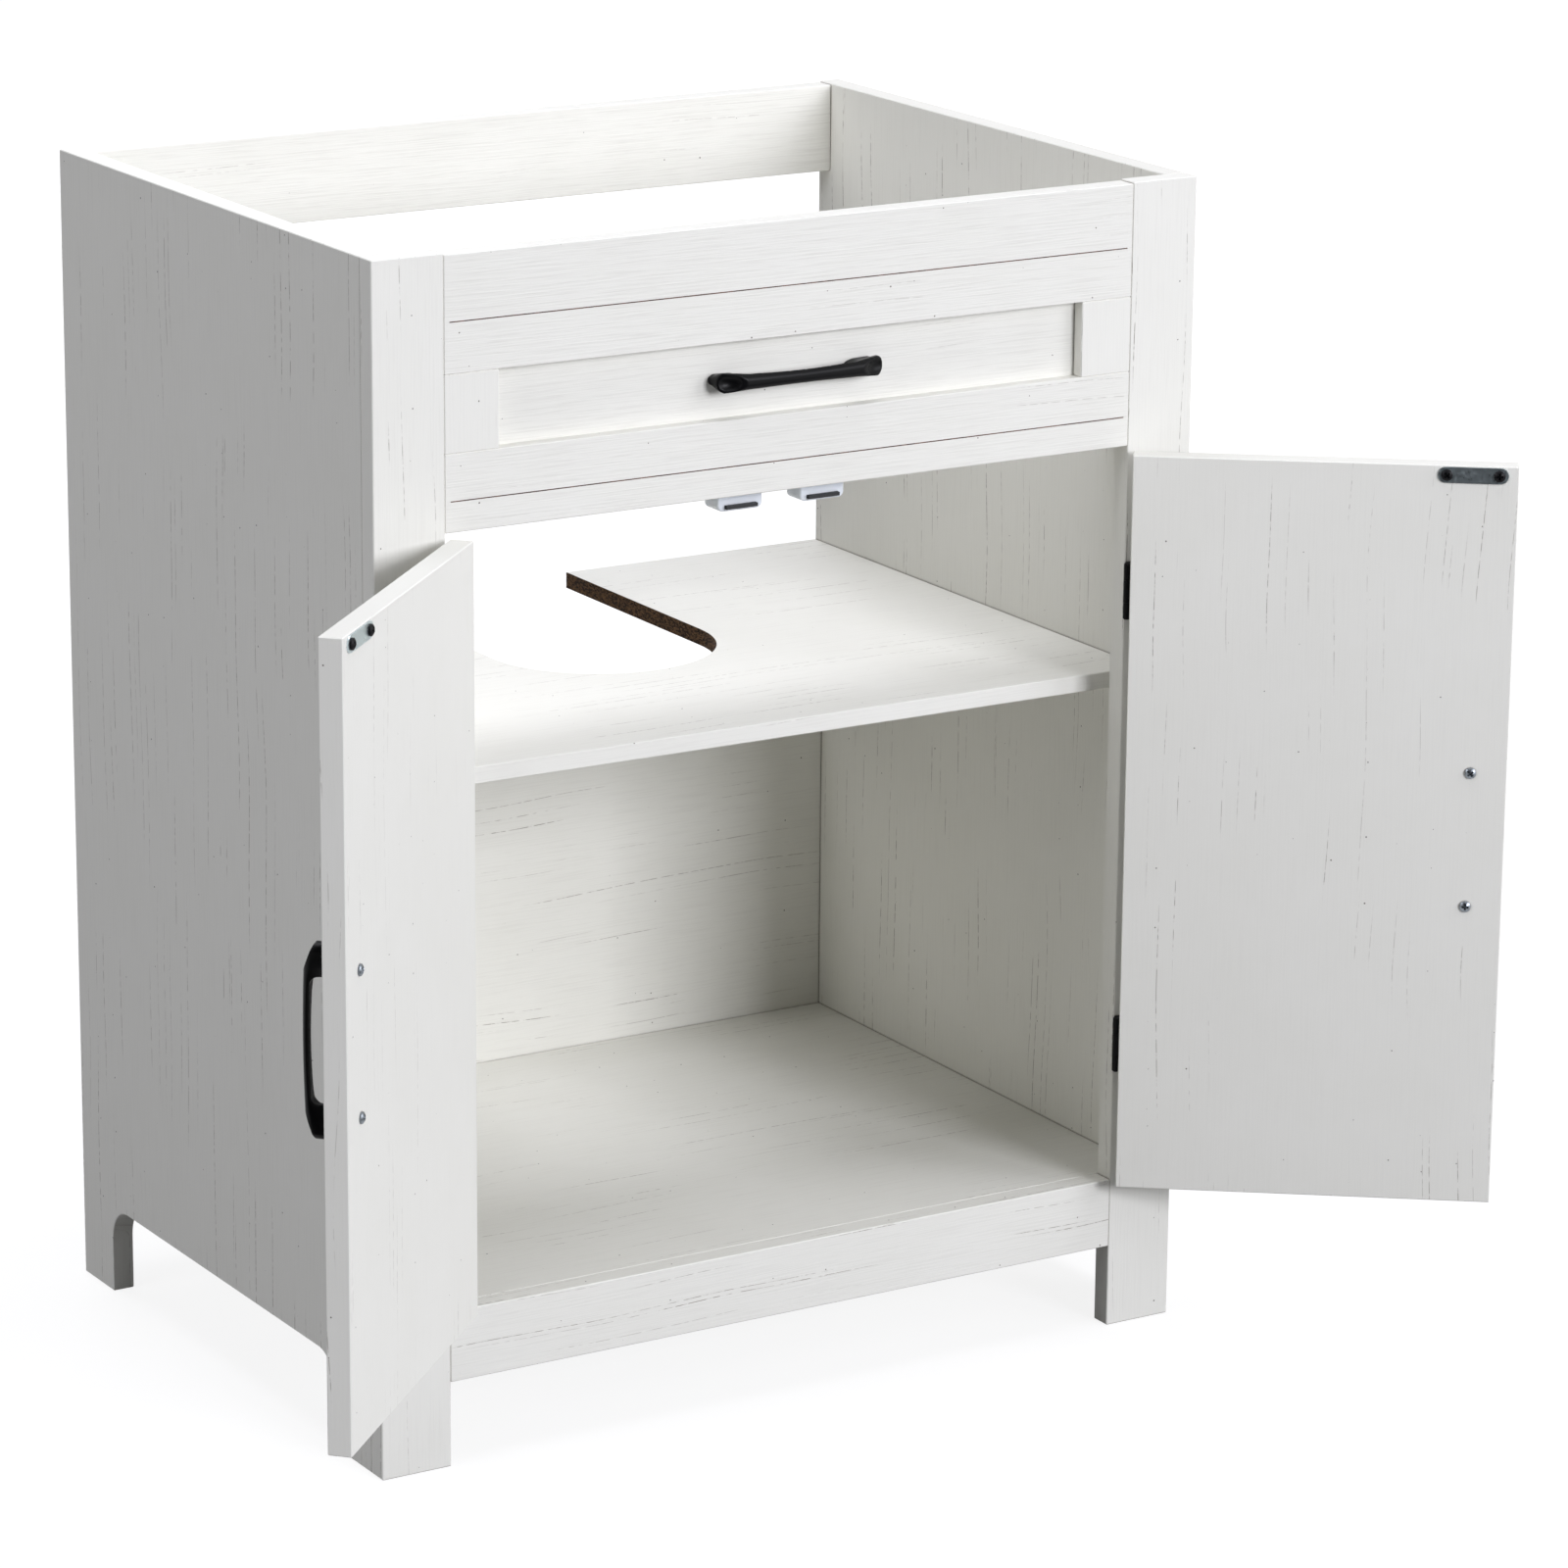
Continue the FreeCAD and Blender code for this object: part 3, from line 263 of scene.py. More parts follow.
def surface(name, **sockets):
    """A new material with its shader's own sockets set, and the tree and shader to go on from."""
    material = bpy.data.materials.new(name)
    material.use_nodes = True
    tree = material.node_tree
    shader = tree.nodes["Principled BSDF"]
    for key, value in sockets.items():
        shader.inputs[key.replace("_", " ")].default_value = (*value, 1) if key == "Base_Color" else value
    return material, tree, shader


def background_rays(tree):
    """1 for the rays that see the pale background: the camera's, and those that metal and glass send on."""
    ray = add(tree, "ShaderNodeLightPath").outputs
    seen = ray["Is Camera Ray"]
    for kind in ("Is Glossy Ray", "Is Transmission Ray"):
        seen = add(tree, "ShaderNodeMath", {0: seen, 1: ray[kind]}, operation="MAXIMUM").outputs[0]
    return seen


def dress(node, material):
    """Gives a CAD node's object its finish."""
    slots = NODES[node].material_slots
    if not slots:
        NODES[node].data.materials.append(material)
    for slot in slots:
        slot.material = material


def whitewash(name, settings, grain, lines, relief, dirt_and_shade_strength):
    """Melamine-faced board with a pressed, whitewashed wood print: pale and matt, with thin broken lines
    of grey-brown where the grain stays open, scattered pores, fine ripples along the grain and a little
    dirt and painted shade in the joints and creases. lines, relief and dirt_and_shade_strength say how
    strongly the board shows its lines, its ripples and that painted shade and dirt."""
    material, tree, shader = surface(name, Roughness=0.52, IOR=1.5, Specular_IOR_Level=0.22)

    # Each face is measured along the grain and across it, so that a line keeps its width on every side.
    place = add(tree, "ShaderNodeTexCoord")
    spot, normal = place.outputs["Object"], place.outputs["Normal"]
    side = add(tree, "ShaderNodeVectorMath", {0: grain, 1: normal}, operation="CROSS_PRODUCT").outputs[0]
    across = add(tree, "ShaderNodeVectorMath", {0: spot, 1: side}, operation="DOT_PRODUCT").outputs["Value"]
    along = add(tree, "ShaderNodeVectorMath", {0: spot, 1: grain}, operation="DOT_PRODUCT").outputs["Value"]
    broad = add(tree, "ShaderNodeVectorMath", {0: side}, operation="LENGTH").outputs["Value"]
    board = add(tree, "ShaderNodeObjectInfo").outputs["Random"]
    moved = {0: board, 1: PRINT_APART, 2: across}
    own = add(tree, "ShaderNodeMath", moved, operation="MULTIPLY_ADD").outputs[0]
    sheet = add(tree, "ShaderNodeCombineXYZ", {0: own, 1: along}).outputs[0]

    # Grain lines: random places across the board that wander a little and come and go along it.
    bends = {"Vector": sheet, "Scale": per(200), "Detail": 1.0}
    bend = add(tree, "ShaderNodeTexNoise", bends, noise_dimensions="2D").outputs[0]
    stray = {0: bend, 1: settings.wander, 2: own}
    swung = add(tree, "ShaderNodeMath", stray, operation="MULTIPLY_ADD").outputs[0]
    pitch = {"W": swung, "Scale": 1 / settings.streak_pitch}
    line = add(tree, "ShaderNodeTexVoronoi", pitch, voronoi_dimensions="1D")
    half_width = settings.streak_width / settings.streak_pitch / 2
    edge, full = (half_width * share for share in LINE_EDGE)
    thin = {"Value": line.outputs["Distance"], "From Min": edge, "From Max": full}
    streak = add(tree, "ShaderNodeMapRange", thin).outputs[0]
    identity = add(tree, "ShaderNodeSeparateColor", {0: line.outputs["Color"]}).outputs
    lane = add(tree, "ShaderNodeMath", {0: identity["Red"], 1: ROWS_APART}, operation="MULTIPLY").outputs[0]
    run = add(tree, "ShaderNodeCombineXYZ", {0: lane, 1: along}).outputs[0]
    drop = GROUP_DROP * lines
    for where, scale, detail, low, high in (
        (run, 1 / settings.streak_run, 0.0, *SPELL),
        (run, per(6.5), 2.0, *DASH),
        (sheet, per(125), 1.0, GROUP[0] - drop, GROUP[1] - drop),
    ):
        noise = {"Vector": where, "Scale": scale, "Detail": detail}
        pattern = add(tree, "ShaderNodeTexNoise", noise, noise_dimensions="2D").outputs[0]
        levels = {"Value": pattern, "From Min": low, "From Max": high}
        shown = add(tree, "ShaderNodeMapRange", levels).outputs[0]
        streak = add(tree, "ShaderNodeMath", {0: streak, 1: shown}, operation="MULTIPLY").outputs[0]
    depth = add(tree, "ShaderNodeMapRange", {"Value": identity["Green"], "To Min": LINE_FAINT}).outputs[0]
    for shown in (depth, broad, lines):
        streak = add(tree, "ShaderNodeMath", {0: streak, 1: shown}, operation="MULTIPLY").outputs[0]

    # Pores: one dot in some of the cells of a loose grid.
    grid = {"Vector": sheet, "Scale": 1 / settings.speck_pitch}
    cells = add(tree, "ShaderNodeTexVoronoi", grid, voronoi_dimensions="2D")
    chance = add(tree, "ShaderNodeSeparateColor", {0: cells.outputs["Color"]}).outputs["Red"]
    largest = settings.speck_size / settings.speck_pitch
    sizes = {"Value": chance, "From Min": PORELESS, "To Max": largest}
    size = add(tree, "ShaderNodeMapRange", sizes).outputs[0]
    dot = add(tree, "ShaderNodeMath", {0: size, 1: cells.outputs["Distance"]}, operation="GREATER_THAN")

    # Painted shade and dirt in the joints and creases, darker where another board stands close by.
    occlusion = add(tree, "ShaderNodeAmbientOcclusion", {"Distance": settings.joint_reach}, samples=6)
    begin, full = JOINT_OPEN
    closeness = {"Value": occlusion.outputs["AO"], "From Min": begin, "From Max": full, "To Max": dirt_and_shade_strength}
    dirt = add(tree, "ShaderNodeMapRange", closeness)

    # Clouds in the wash, and the pressed ripples, which are 40 times as long as they are wide.
    clouds = {"Vector": sheet, "Scale": per(70), "Detail": 3.0, "Roughness": 0.6}
    wash = add(tree, "ShaderNodeTexNoise", clouds, noise_dimensions="2D")
    stretch = {0: sheet, 1: (1, 1 / 40, 1)}
    stretched = add(tree, "ShaderNodeVectorMath", stretch, operation="MULTIPLY").outputs[0]
    ripples = {"Vector": stretched, "Scale": 1 / settings.emboss, "Detail": 2.0, "Roughness": 0.55}
    ripple = add(tree, "ShaderNodeTexNoise", ripples, noise_dimensions="2D").outputs[0]
    begin, full = RIPPLE
    levels = {"Value": ripple, "From Min": begin, "From Max": full, "To Max": RIPPLE_DARK * relief}
    printed = add(tree, "ShaderNodeMapRange", levels).outputs[0]
    tone = (*settings.paint, 1)
    for shown, over in (
        (wash.outputs[0], settings.cloud),
        (printed, settings.streak),
        (streak, settings.streak),
        (dot.outputs[0], settings.speck),
        (dirt.outputs[0], settings.dirt),
    ):
        tone = add(tree, "ShaderNodeMix", {0: shown, 6: tone, 7: (*over, 1)}, data_type="RGBA").outputs[2]
    tree.links.new(tone, shader.inputs["Base Color"])
    raised = add(tree, "ShaderNodeMath", {0: ripple, 1: relief}, operation="MULTIPLY").outputs[0]
    pressed = {0: streak, 1: LINE_PRESS, 2: raised}
    press = add(tree, "ShaderNodeMath", pressed, operation="MULTIPLY_ADD").outputs[0]
    bump = add(tree, "ShaderNodeBump", {"Height": press, "Strength": 0.5, "Distance": 0.4 * MM})
    tree.links.new(bump.outputs[0], shader.inputs["Normal"])
    return material


def raw_chipboard(name, chip, glue, size):
    """Sawn chipboard: flat brown chips pressed together, dark voids between them, rough and dry."""
    material, tree, shader = surface(name, Roughness=0.85, Specular_IOR_Level=0.2)
    spot = add(tree, "ShaderNodeTexCoord").outputs["Object"]
    # The chips lie flat: they are 2.2 times as long as they are thick.
    lie = add(tree, "ShaderNodeVectorMath", {0: spot, 1: (1, 1, 2.2)}, operation="MULTIPLY").outputs[0]
    chips = add(tree, "ShaderNodeTexVoronoi", {"Vector": lie, "Scale": 1 / size, "Randomness": 1.0})
    shade = add(tree, "ShaderNodeSeparateColor", {"Color": chips.outputs["Color"]}).outputs["Red"]
    grit = add(tree, "ShaderNodeTexNoise", {"Vector": lie, "Scale": per(1.1), "Detail": 3.0}).outputs[0]
    mixed = add(tree, "ShaderNodeMath", {0: shade, 1: grit}, operation="MULTIPLY").outputs[0]
    pale = add(tree, "ShaderNodeMapRange", {"Value": mixed, "From Min": 0.1, "From Max": 0.55}).outputs[0]
    tone = add(tree, "ShaderNodeMix", {0: pale, 6: (*glue, 1), 7: (*chip, 1)}, data_type="RGBA")
    tree.links.new(tone.outputs[2], shader.inputs["Base Color"])
    bump = add(tree, "ShaderNodeBump", {"Height": mixed, "Strength": 0.8, "Distance": 0.5 * MM})
    tree.links.new(bump.outputs[0], shader.inputs["Normal"])
    return material


def coated_metal(name, shade, rough):
    """Metal under a matt black coat: deep, even and softly shiny, with the fine orange peel of the coat."""
    material, tree, shader = surface(name, Base_Color=shade, Roughness=rough, Specular_IOR_Level=0.12)
    spot = add(tree, "ShaderNodeTexCoord").outputs["Object"]
    # The peel of such a coat is about 0.15 mm; it is drawn at 0.6 mm so that it shows.
    peel = add(tree, "ShaderNodeTexNoise", {"Vector": spot, "Scale": per(0.6), "Detail": 2.0}).outputs[0]
    bump = add(tree, "ShaderNodeBump", {"Height": peel, "Strength": 0.12, "Distance": 0.2 * MM})
    tree.links.new(bump.outputs[0], shader.inputs["Normal"])
    worn = add(tree, "ShaderNodeMapRange", {"Value": peel, "To Min": rough - 0.06, "To Max": rough + 0.08})
    tree.links.new(worn.outputs[0], shader.inputs["Roughness"])
    return material


def zinc_metal(name, shade, rough):
    """Zinc-plated or cast zinc metal: cool grey and bright, with faint clouds from the plating bath."""
    material, tree, shader = surface(name, Base_Color=shade, Metallic=1.0, Roughness=rough)
    spot = add(tree, "ShaderNodeTexCoord").outputs["Object"]
    bath = add(tree, "ShaderNodeTexNoise", {"Vector": spot, "Scale": per(2.5), "Detail": 3.0}).outputs[0]
    cloud = add(tree, "ShaderNodeMapRange", {"Value": bath, "To Min": rough - 0.1, "To Max": rough + 0.14})
    tree.links.new(cloud.outputs[0], shader.inputs["Roughness"])
    return material


def moulded_plastic(name, shade):
    """Injection-moulded plastic with a fine spark-eroded skin: cool white and satin."""
    material, tree, shader = surface(name, Base_Color=shade, Roughness=0.42, IOR=1.49)
    # Light goes a few millimetres into the plastic, so thin walls look soft.
    shader.inputs["Subsurface Weight"].default_value = 0.5
    shader.inputs["Subsurface Scale"].default_value = 4 * MM
    shader.inputs["Subsurface Radius"].default_value = (1, 1, 1)
    spot = add(tree, "ShaderNodeTexCoord").outputs["Object"]
    # The skin's grain is about 0.05 mm; it is drawn at 0.4 mm so that it shows.
    skin = add(tree, "ShaderNodeTexNoise", {"Vector": spot, "Scale": per(0.4), "Detail": 2.0}).outputs[0]
    bump = add(tree, "ShaderNodeBump", {"Height": skin, "Strength": 0.1, "Distance": 0.1 * MM})
    tree.links.new(bump.outputs[0], shader.inputs["Normal"])
    return material


def ground_ferrite(name, shade):
    """Sintered ferrite, ground flat: near black and dull, with fine grinding lines along the bar."""
    material, tree, shader = surface(name, Base_Color=shade, Roughness=0.6)
    spot = add(tree, "ShaderNodeTexCoord").outputs["Object"]
    # Grinding lines are about 0.03 mm wide; they are drawn at 0.35 mm so that they show, 20 times as long.
    lie = add(tree, "ShaderNodeVectorMath", {0: spot, 1: (1 / 20, 1, 1)}, operation="MULTIPLY").outputs[0]
    scratch = add(tree, "ShaderNodeTexNoise", {"Vector": lie, "Scale": per(0.35)}).outputs[0]
    bump = add(tree, "ShaderNodeBump", {"Height": scratch, "Strength": 0.3, "Distance": 0.1 * MM})
    tree.links.new(bump.outputs[0], shader.inputs["Normal"])
    return material


def beech(name, shade):
    """Turned beech: warm tan with short darker flecks along the dowel."""
    material, tree, shader = surface(name, Roughness=0.65)
    spot = add(tree, "ShaderNodeTexCoord").outputs["Object"]
    lie = add(tree, "ShaderNodeVectorMath", {0: spot, 1: (0.15, 1, 1)}, operation="MULTIPLY").outputs[0]
    fleck = add(tree, "ShaderNodeTexNoise", {"Vector": lie, "Scale": per(0.8), "Detail": 2.0}).outputs[0]
    shown = add(tree, "ShaderNodeMapRange", {"Value": fleck, "From Min": 0.5, "From Max": 0.75}).outputs[0]
    dark = tuple(c * 0.55 for c in shade)
    tone = add(tree, "ShaderNodeMix", {0: shown, 6: (*shade, 1), 7: (*dark, 1)}, data_type="RGBA")
    tree.links.new(tone.outputs[2], shader.inputs["Base Color"])
    return material


def piece(name, mesh_data, material, body, smooth=False):
    """Makes an object of a bmesh, in the frame of the CAD, and lets it ride on a body."""
    mesh = bpy.data.meshes.new(name)
    bmesh.ops.recalc_face_normals(mesh_data, faces=mesh_data.faces)
    mesh_data.to_mesh(mesh)
    mesh_data.free()
    mesh.materials.append(material)
    item = bpy.data.objects.new(name, mesh)
    bpy.context.scene.collection.objects.link(item)
    if smooth:
        mesh.shade_smooth()
        mesh.set_sharp_from_angle(angle=math.radians(SMOOTH_BELOW))
    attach(item, body)
    return item


def door_place(hand):
    """Where a door's closed frame stands at rest: origin on its pin, turned open."""
    hinge = next(j for j in frame["joints"] if j["child"] == f"{hand}_door")
    turn = -math.radians(hinge["range_deg"][0]) * hinge["axis"][2]
    pin = Vector((hinge["pos_m"][0], hinge["pos_m"][1], 0))
    return Matrix.Translation(pin) @ Matrix.Rotation(turn, 4, "Z")


def spin(mesh_data, profile, place, segments=24):
    """Turns a profile of (radius, height) points about the place's Z axis. The ends close on the axis."""
    rings = []
    for radius, height in profile:
        count = 1 if radius == 0 else segments
        turns = [2 * math.pi * n / segments for n in range(count)]
        spots = [Vector((radius * math.cos(a), radius * math.sin(a), height)) for a in turns]
        rings.append([mesh_data.verts.new(place @ spot) for spot in spots])
    for low, high in zip(rings, rings[1:]):
        for n in range(segments):
            quad = [low[n % len(low)], low[(n + 1) % len(low)]]
            quad += [high[(n + 1) % len(high)], high[n % len(high)]]
            unique = list(dict.fromkeys(quad))
            if len(unique) > 2:
                mesh_data.faces.new(unique)


def cross_head(mesh_data, place, radius, rise, rim, depth, arm, width):
    """A screw head's crown with a cross recess. Z of the place points out of the seat. The recess slopes
    over a part of its width and length."""
    segments, rings = 48, 12
    flank, end = width * 0.5, arm * 0.3
    grid = []
    for ring in range(rings + 1):
        reach = radius * ring / rings
        row = []
        for n in range(segments):
            angle = 2 * math.pi * n / segments
            x, y = reach * math.cos(angle), reach * math.sin(angle)
            dome = rim + (rise - rim) * (1 - (reach / radius) ** 2)
            slim, wide = sorted((abs(x), abs(y)))
            cut = min((width - slim) / flank, (arm - wide) / end, 1)
            row.append(mesh_data.verts.new(place @ Vector((x, y, dome - depth * max(cut, 0)))))
            if ring == 0:
                break
        grid.append(row)
    for low, high in zip(grid, grid[1:]):
        for n in range(segments):
            after = (n + 1) % segments
            if len(low) == 1:
                mesh_data.faces.new((low[0], high[n], high[after]))
            else:
                mesh_data.faces.new((low[n], high[n], high[after], low[after]))
    edge = grid[-1]
    foot = [mesh_data.verts.new(v.co - (place.to_3x3() @ Vector((0, 0, rim)))) for v in edge]
    for n in range(segments):
        after = (n + 1) % segments
        mesh_data.faces.new((edge[n], foot[n], foot[after], edge[after]))
    mesh_data.faces.new(list(reversed(foot)))


def cad_shape(node, place=Matrix()):
    """A copy of a CAD node's mesh, in the frame of the place."""
    shape = bmesh.new()
    shape.from_mesh(NODES[node].data)
    shape.transform(place.inverted() @ NODES[node].matrix_world)
    bmesh.ops.remove_doubles(shape, verts=shape.verts, dist=TOUCH)
    return shape


def corners(verts):
    """Low and high corner of the box round some vertices."""
    spots = [vert.co for vert in verts]
    return Vector(map(min, zip(*spots))), Vector(map(max, zip(*spots)))


def solids(node, place=Matrix()):
    """Low and high corner of each solid of a CAD node, measured in the frame of the place."""
    shape = cad_shape(node, place)
    loose, boxes = set(shape.verts), []
    while loose:
        reached = [loose.pop()]
        for vert in reached:
            joined = {link.other_vert(vert) for link in vert.link_edges} & loose
            loose -= joined
            reached += joined
        boxes.append(corners(reached))
    shape.free()
    return sorted(boxes, key=lambda box: tuple(box[0]))


def pan_screws(node, axis, settings, material, body, slot, place=Matrix()):
    """Cross-recessed pan-head screws where the CAD has plain ones. The axis, in the frame of the place,
    points out of the heads."""
    shape = bmesh.new()
    out = Vector(axis)
    crown = settings.head_rise, settings.head_rim
    cross = settings.head_cross, settings.head_arm, settings.head_slot
    neck = settings.head_rim / 2
    for number, (low, high) in enumerate(solids(node, place)):
        size, middle = high - low, (low + high) / 2
        reach = abs(size.dot(out))
        seat = middle + out * (reach / 2 - settings.head_rise)
        bite, head = reach - settings.head_rise, max(size - out * size.dot(out)) / 2
        shank = head * (SHANKS[slot] / HEAD)
        spot = place @ facing(seat, axis, SCREW_TWIST * number)
        cross_head(shape, spot, head, *crown, *cross)
        tip = [(0, -bite), (shank * POINT_SHARE, -bite), (shank, settings.point - bite)]
        spin(shape, tip + [(shank, neck), (0, neck)], spot)
    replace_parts(piece(f"{node}_cross", shape, material, body, smooth=True), node)


def ease(share):
    """A soft step from 0 to 1."""
    share = min(max(share, 0), 1)
    return share * share * (3 - 2 * share)


def facing(spot, axis, twist=0.0):
    """A place whose Z axis points along the axis, turned about it by the twist."""
    turn = Vector((0, 0, 1)).rotation_difference(Vector(axis)).to_matrix().to_4x4()
    return Matrix.Translation(spot) @ turn @ Matrix.Rotation(twist, 4, "Z")


class VANITY_OT_paint_boards(bpy.types.Operator):
    """Gives every board its whitewashed print, along the grain of that board"""

    bl_idname = "vanity.paint_boards"
    bl_label = "Paint Boards"

    def execute(self, context):
        settings = context.scene.vanity_boards
        # The last column is how strongly each group shows painted shade and dirt in its joints.
        for name, nodes, grain, lines, relief, dirt_and_shade_strength in (
            ("Whitewashed melamine, upright open grain", CASE_BOARDS, UPRIGHT, 1.0, 0.4, 1.0),
            ("Whitewashed melamine, upright grain", DOOR_BOARDS, UPRIGHT, 0.68, 0.22, 1.0),
            ("Whitewashed melamine, upright grain, tight joints", FRONT_ENDS, UPRIGHT, 0.7, 0.3, 0.0),
            ("Whitewashed melamine, level grain, tight joints", FRONT_BOARDS, LEVEL, 0.3, 1.0, 0.0),
            ("Whitewashed melamine, level grain", INNER_BOARDS, LEVEL, 0.8, 0.6, 0.6),
        ):
            material = whitewash(name, settings, grain, lines, relief, dirt_and_shade_strength)
            for node in nodes:
                dress(node, material)
        return {"FINISHED"}


class VANITY_OT_raw_edges(bpy.types.Operator):
    """Lines the shelf's cut-out and the two hairlines of the fixed front with raw chipboard"""

    bl_idname = "vanity.raw_edges"
    bl_label = "Raw Edges"

    def execute(self, context):
        settings = context.scene.vanity_boards
        chips = raw_chipboard("Sawn chipboard", settings.chip, settings.glue, settings.chip_size)
        core = raw_chipboard("Milled chipboard", settings.core, settings.core_dark, settings.chip_size * 2)
        low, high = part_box("shelf")
        self.line_cutout(settings, chips, low.z, high.z, high.y)
        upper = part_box("apron_top_rail")[1].z - settings.hairline_drop
        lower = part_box("apron_bottom_rail")[0].z + settings.hairline_rise
        self.line_groove(settings, core, "apron_top_rail", upper)
        self.line_groove(settings, core, "apron_bottom_rail", lower)
        return {"FINISHED"}

    def line_cutout(self, settings, material, low, high, rear):
        """A thin strip along the cut-out, with the small dents of torn chips."""
        seed = 4
        dice = random.Random(seed)
        radius, step = settings.cutout_width / 2, settings.edge_step
        centre = rear - settings.cutout_depth + radius
        straight = [(-radius, rear - n * step) for n in range(int((rear - centre) / step) + 1)]
        steps, rows = 110, 7
        lip, gap = 0.15 * MM, 0.02 * MM
        turn = [math.pi + math.pi * n / steps for n in range(steps + 1)]
        path = straight + [(radius * math.cos(a), centre + radius * math.sin(a)) for a in turn]
        path += [(-x, y) for x, y in reversed(straight)]
        shape = bmesh.new()
        inner, outer = [], []
        for n, (x, y) in enumerate(path):
            before, after = path[max(n - 1, 0)], path[min(n + 1, len(path) - 1)]
            way = Vector((after[0] - before[0], after[1] - before[1], 0)).normalized()
            into = Vector((-way.y, way.x, 0))
            face, back = [], []
            for row in range(rows + 1):
                level = low + lip + (high - low - 2 * lip) * row / rows
                dent = 0 if row in (0, rows) else dice.random() * settings.edge_dent
                face.append(shape.verts.new(Vector((x, y, level)) + into * (settings.edge_skin - dent)))
                back.append(shape.verts.new(Vector((x, y, level)) + into * gap))
            inner.append(face)
            outer.append(back)
        for grid in (inner, outer):
            for a, b in zip(grid, grid[1:]):
                for row in range(rows):
                    shape.faces.new((a[row], b[row], b[row + 1], a[row + 1]))
        for row in (0, rows):
            for a, b, c, d in zip(inner, inner[1:], outer[1:], outer):
                shape.faces.new((a[row], b[row], c[row], d[row]))
        for n in (0, -1):
            for row in range(rows):
                shape.faces.new((inner[n][row], inner[n][row + 1], outer[n][row + 1], outer[n][row]))
        piece("shelf_cut_edge", shape, material, "cabinet")

    def line_groove(self, settings, material, node, height):
        """The board's brown core at the bottom of a hairline groove."""
        low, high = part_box(node)
        shape = bmesh.new()
        half, inset = settings.hairline_width / 2, settings.hairline_inset
        near, far = low.y + settings.hairline_sunk, low.y + settings.hairline_floor
        rings, count = [], 120
        for n in range(count + 1):
            x = low.x + inset + (high.x - low.x - 2 * inset) * n / count
            ring = [
                (x, near, height - half),
                (x, near, height + half),
                (x, far, height + half),
                (x, far, height - half),
            ]
            rings.append([shape.verts.new(c) for c in ring])
        for a, b in zip(rings, rings[1:]):
            for n in range(4):
                shape.faces.new((a[n], b[n], b[(n + 1) % 4], a[(n + 1) % 4]))
        shape.faces.new(rings[0])
        shape.faces.new(list(reversed(rings[-1])))
        piece(f"{node}_line_core", shape, material, "cabinet")


class VANITY_OT_finish_hardware(bpy.types.Operator):
    """Gives hinges, catches, plates and the hidden joints their finishes"""

    bl_idname = "vanity.finish_hardware"
    bl_label = "Finish Hardware"

    def execute(self, context):
        settings = context.scene.vanity_hardware
        hinge = coated_metal("Pressed steel, black coat", settings.black, rough=0.46)
        plate = zinc_metal("Steel strip, bright zinc", settings.zinc, rough=0.3)
        cast = zinc_metal("Die-cast zinc", settings.cast_zinc, rough=0.5)
        plastic = moulded_plastic("Moulded polypropylene", settings.housing)
        dress("catch_magnets", ground_ferrite("Ground ferrite", settings.magnet))
        dress("wood_dowels", beech("Turned beech", settings.beech))
        dress("cam_bolts", cast)
        self.turn_cams(settings, cast)
        for hand in HANDS:
            dress(f"{hand}_strike_plate", plate)
            dress(f"{hand}_catch_housing", plastic)
            for level in LEVELS:
                for member in ("stile_leaf", "door_leaf", "hinge_pin"):
                    dress(f"{hand}_{level}_{member}", hinge)
        return {"FINISHED"}

    def turn_cams(self, settings, material):
        """Cam locks with a cross recess for the screwdriver. They face the wall or the floor."""
        shape = bmesh.new()
        cross = settings.cam_cross, settings.cam_arm, settings.cam_slot
        for number, (low, high) in enumerate(solids("cam_locks")):
            size, middle = high - low, (low + high) / 2
            axis = Vector((0, 1, 0)) if size.y < size.z else Vector((0, 0, -1))
            deep = abs(size.dot(axis))
            spot = facing(middle - axis * deep / 2, axis, CAM_TWIST * number)
            cross_head(shape, spot, size.x / 2, deep, deep, *cross)
        cams = piece("cam_locks_cross", shape, material, "cabinet", smooth=True)
        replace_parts(cams, "cam_locks")


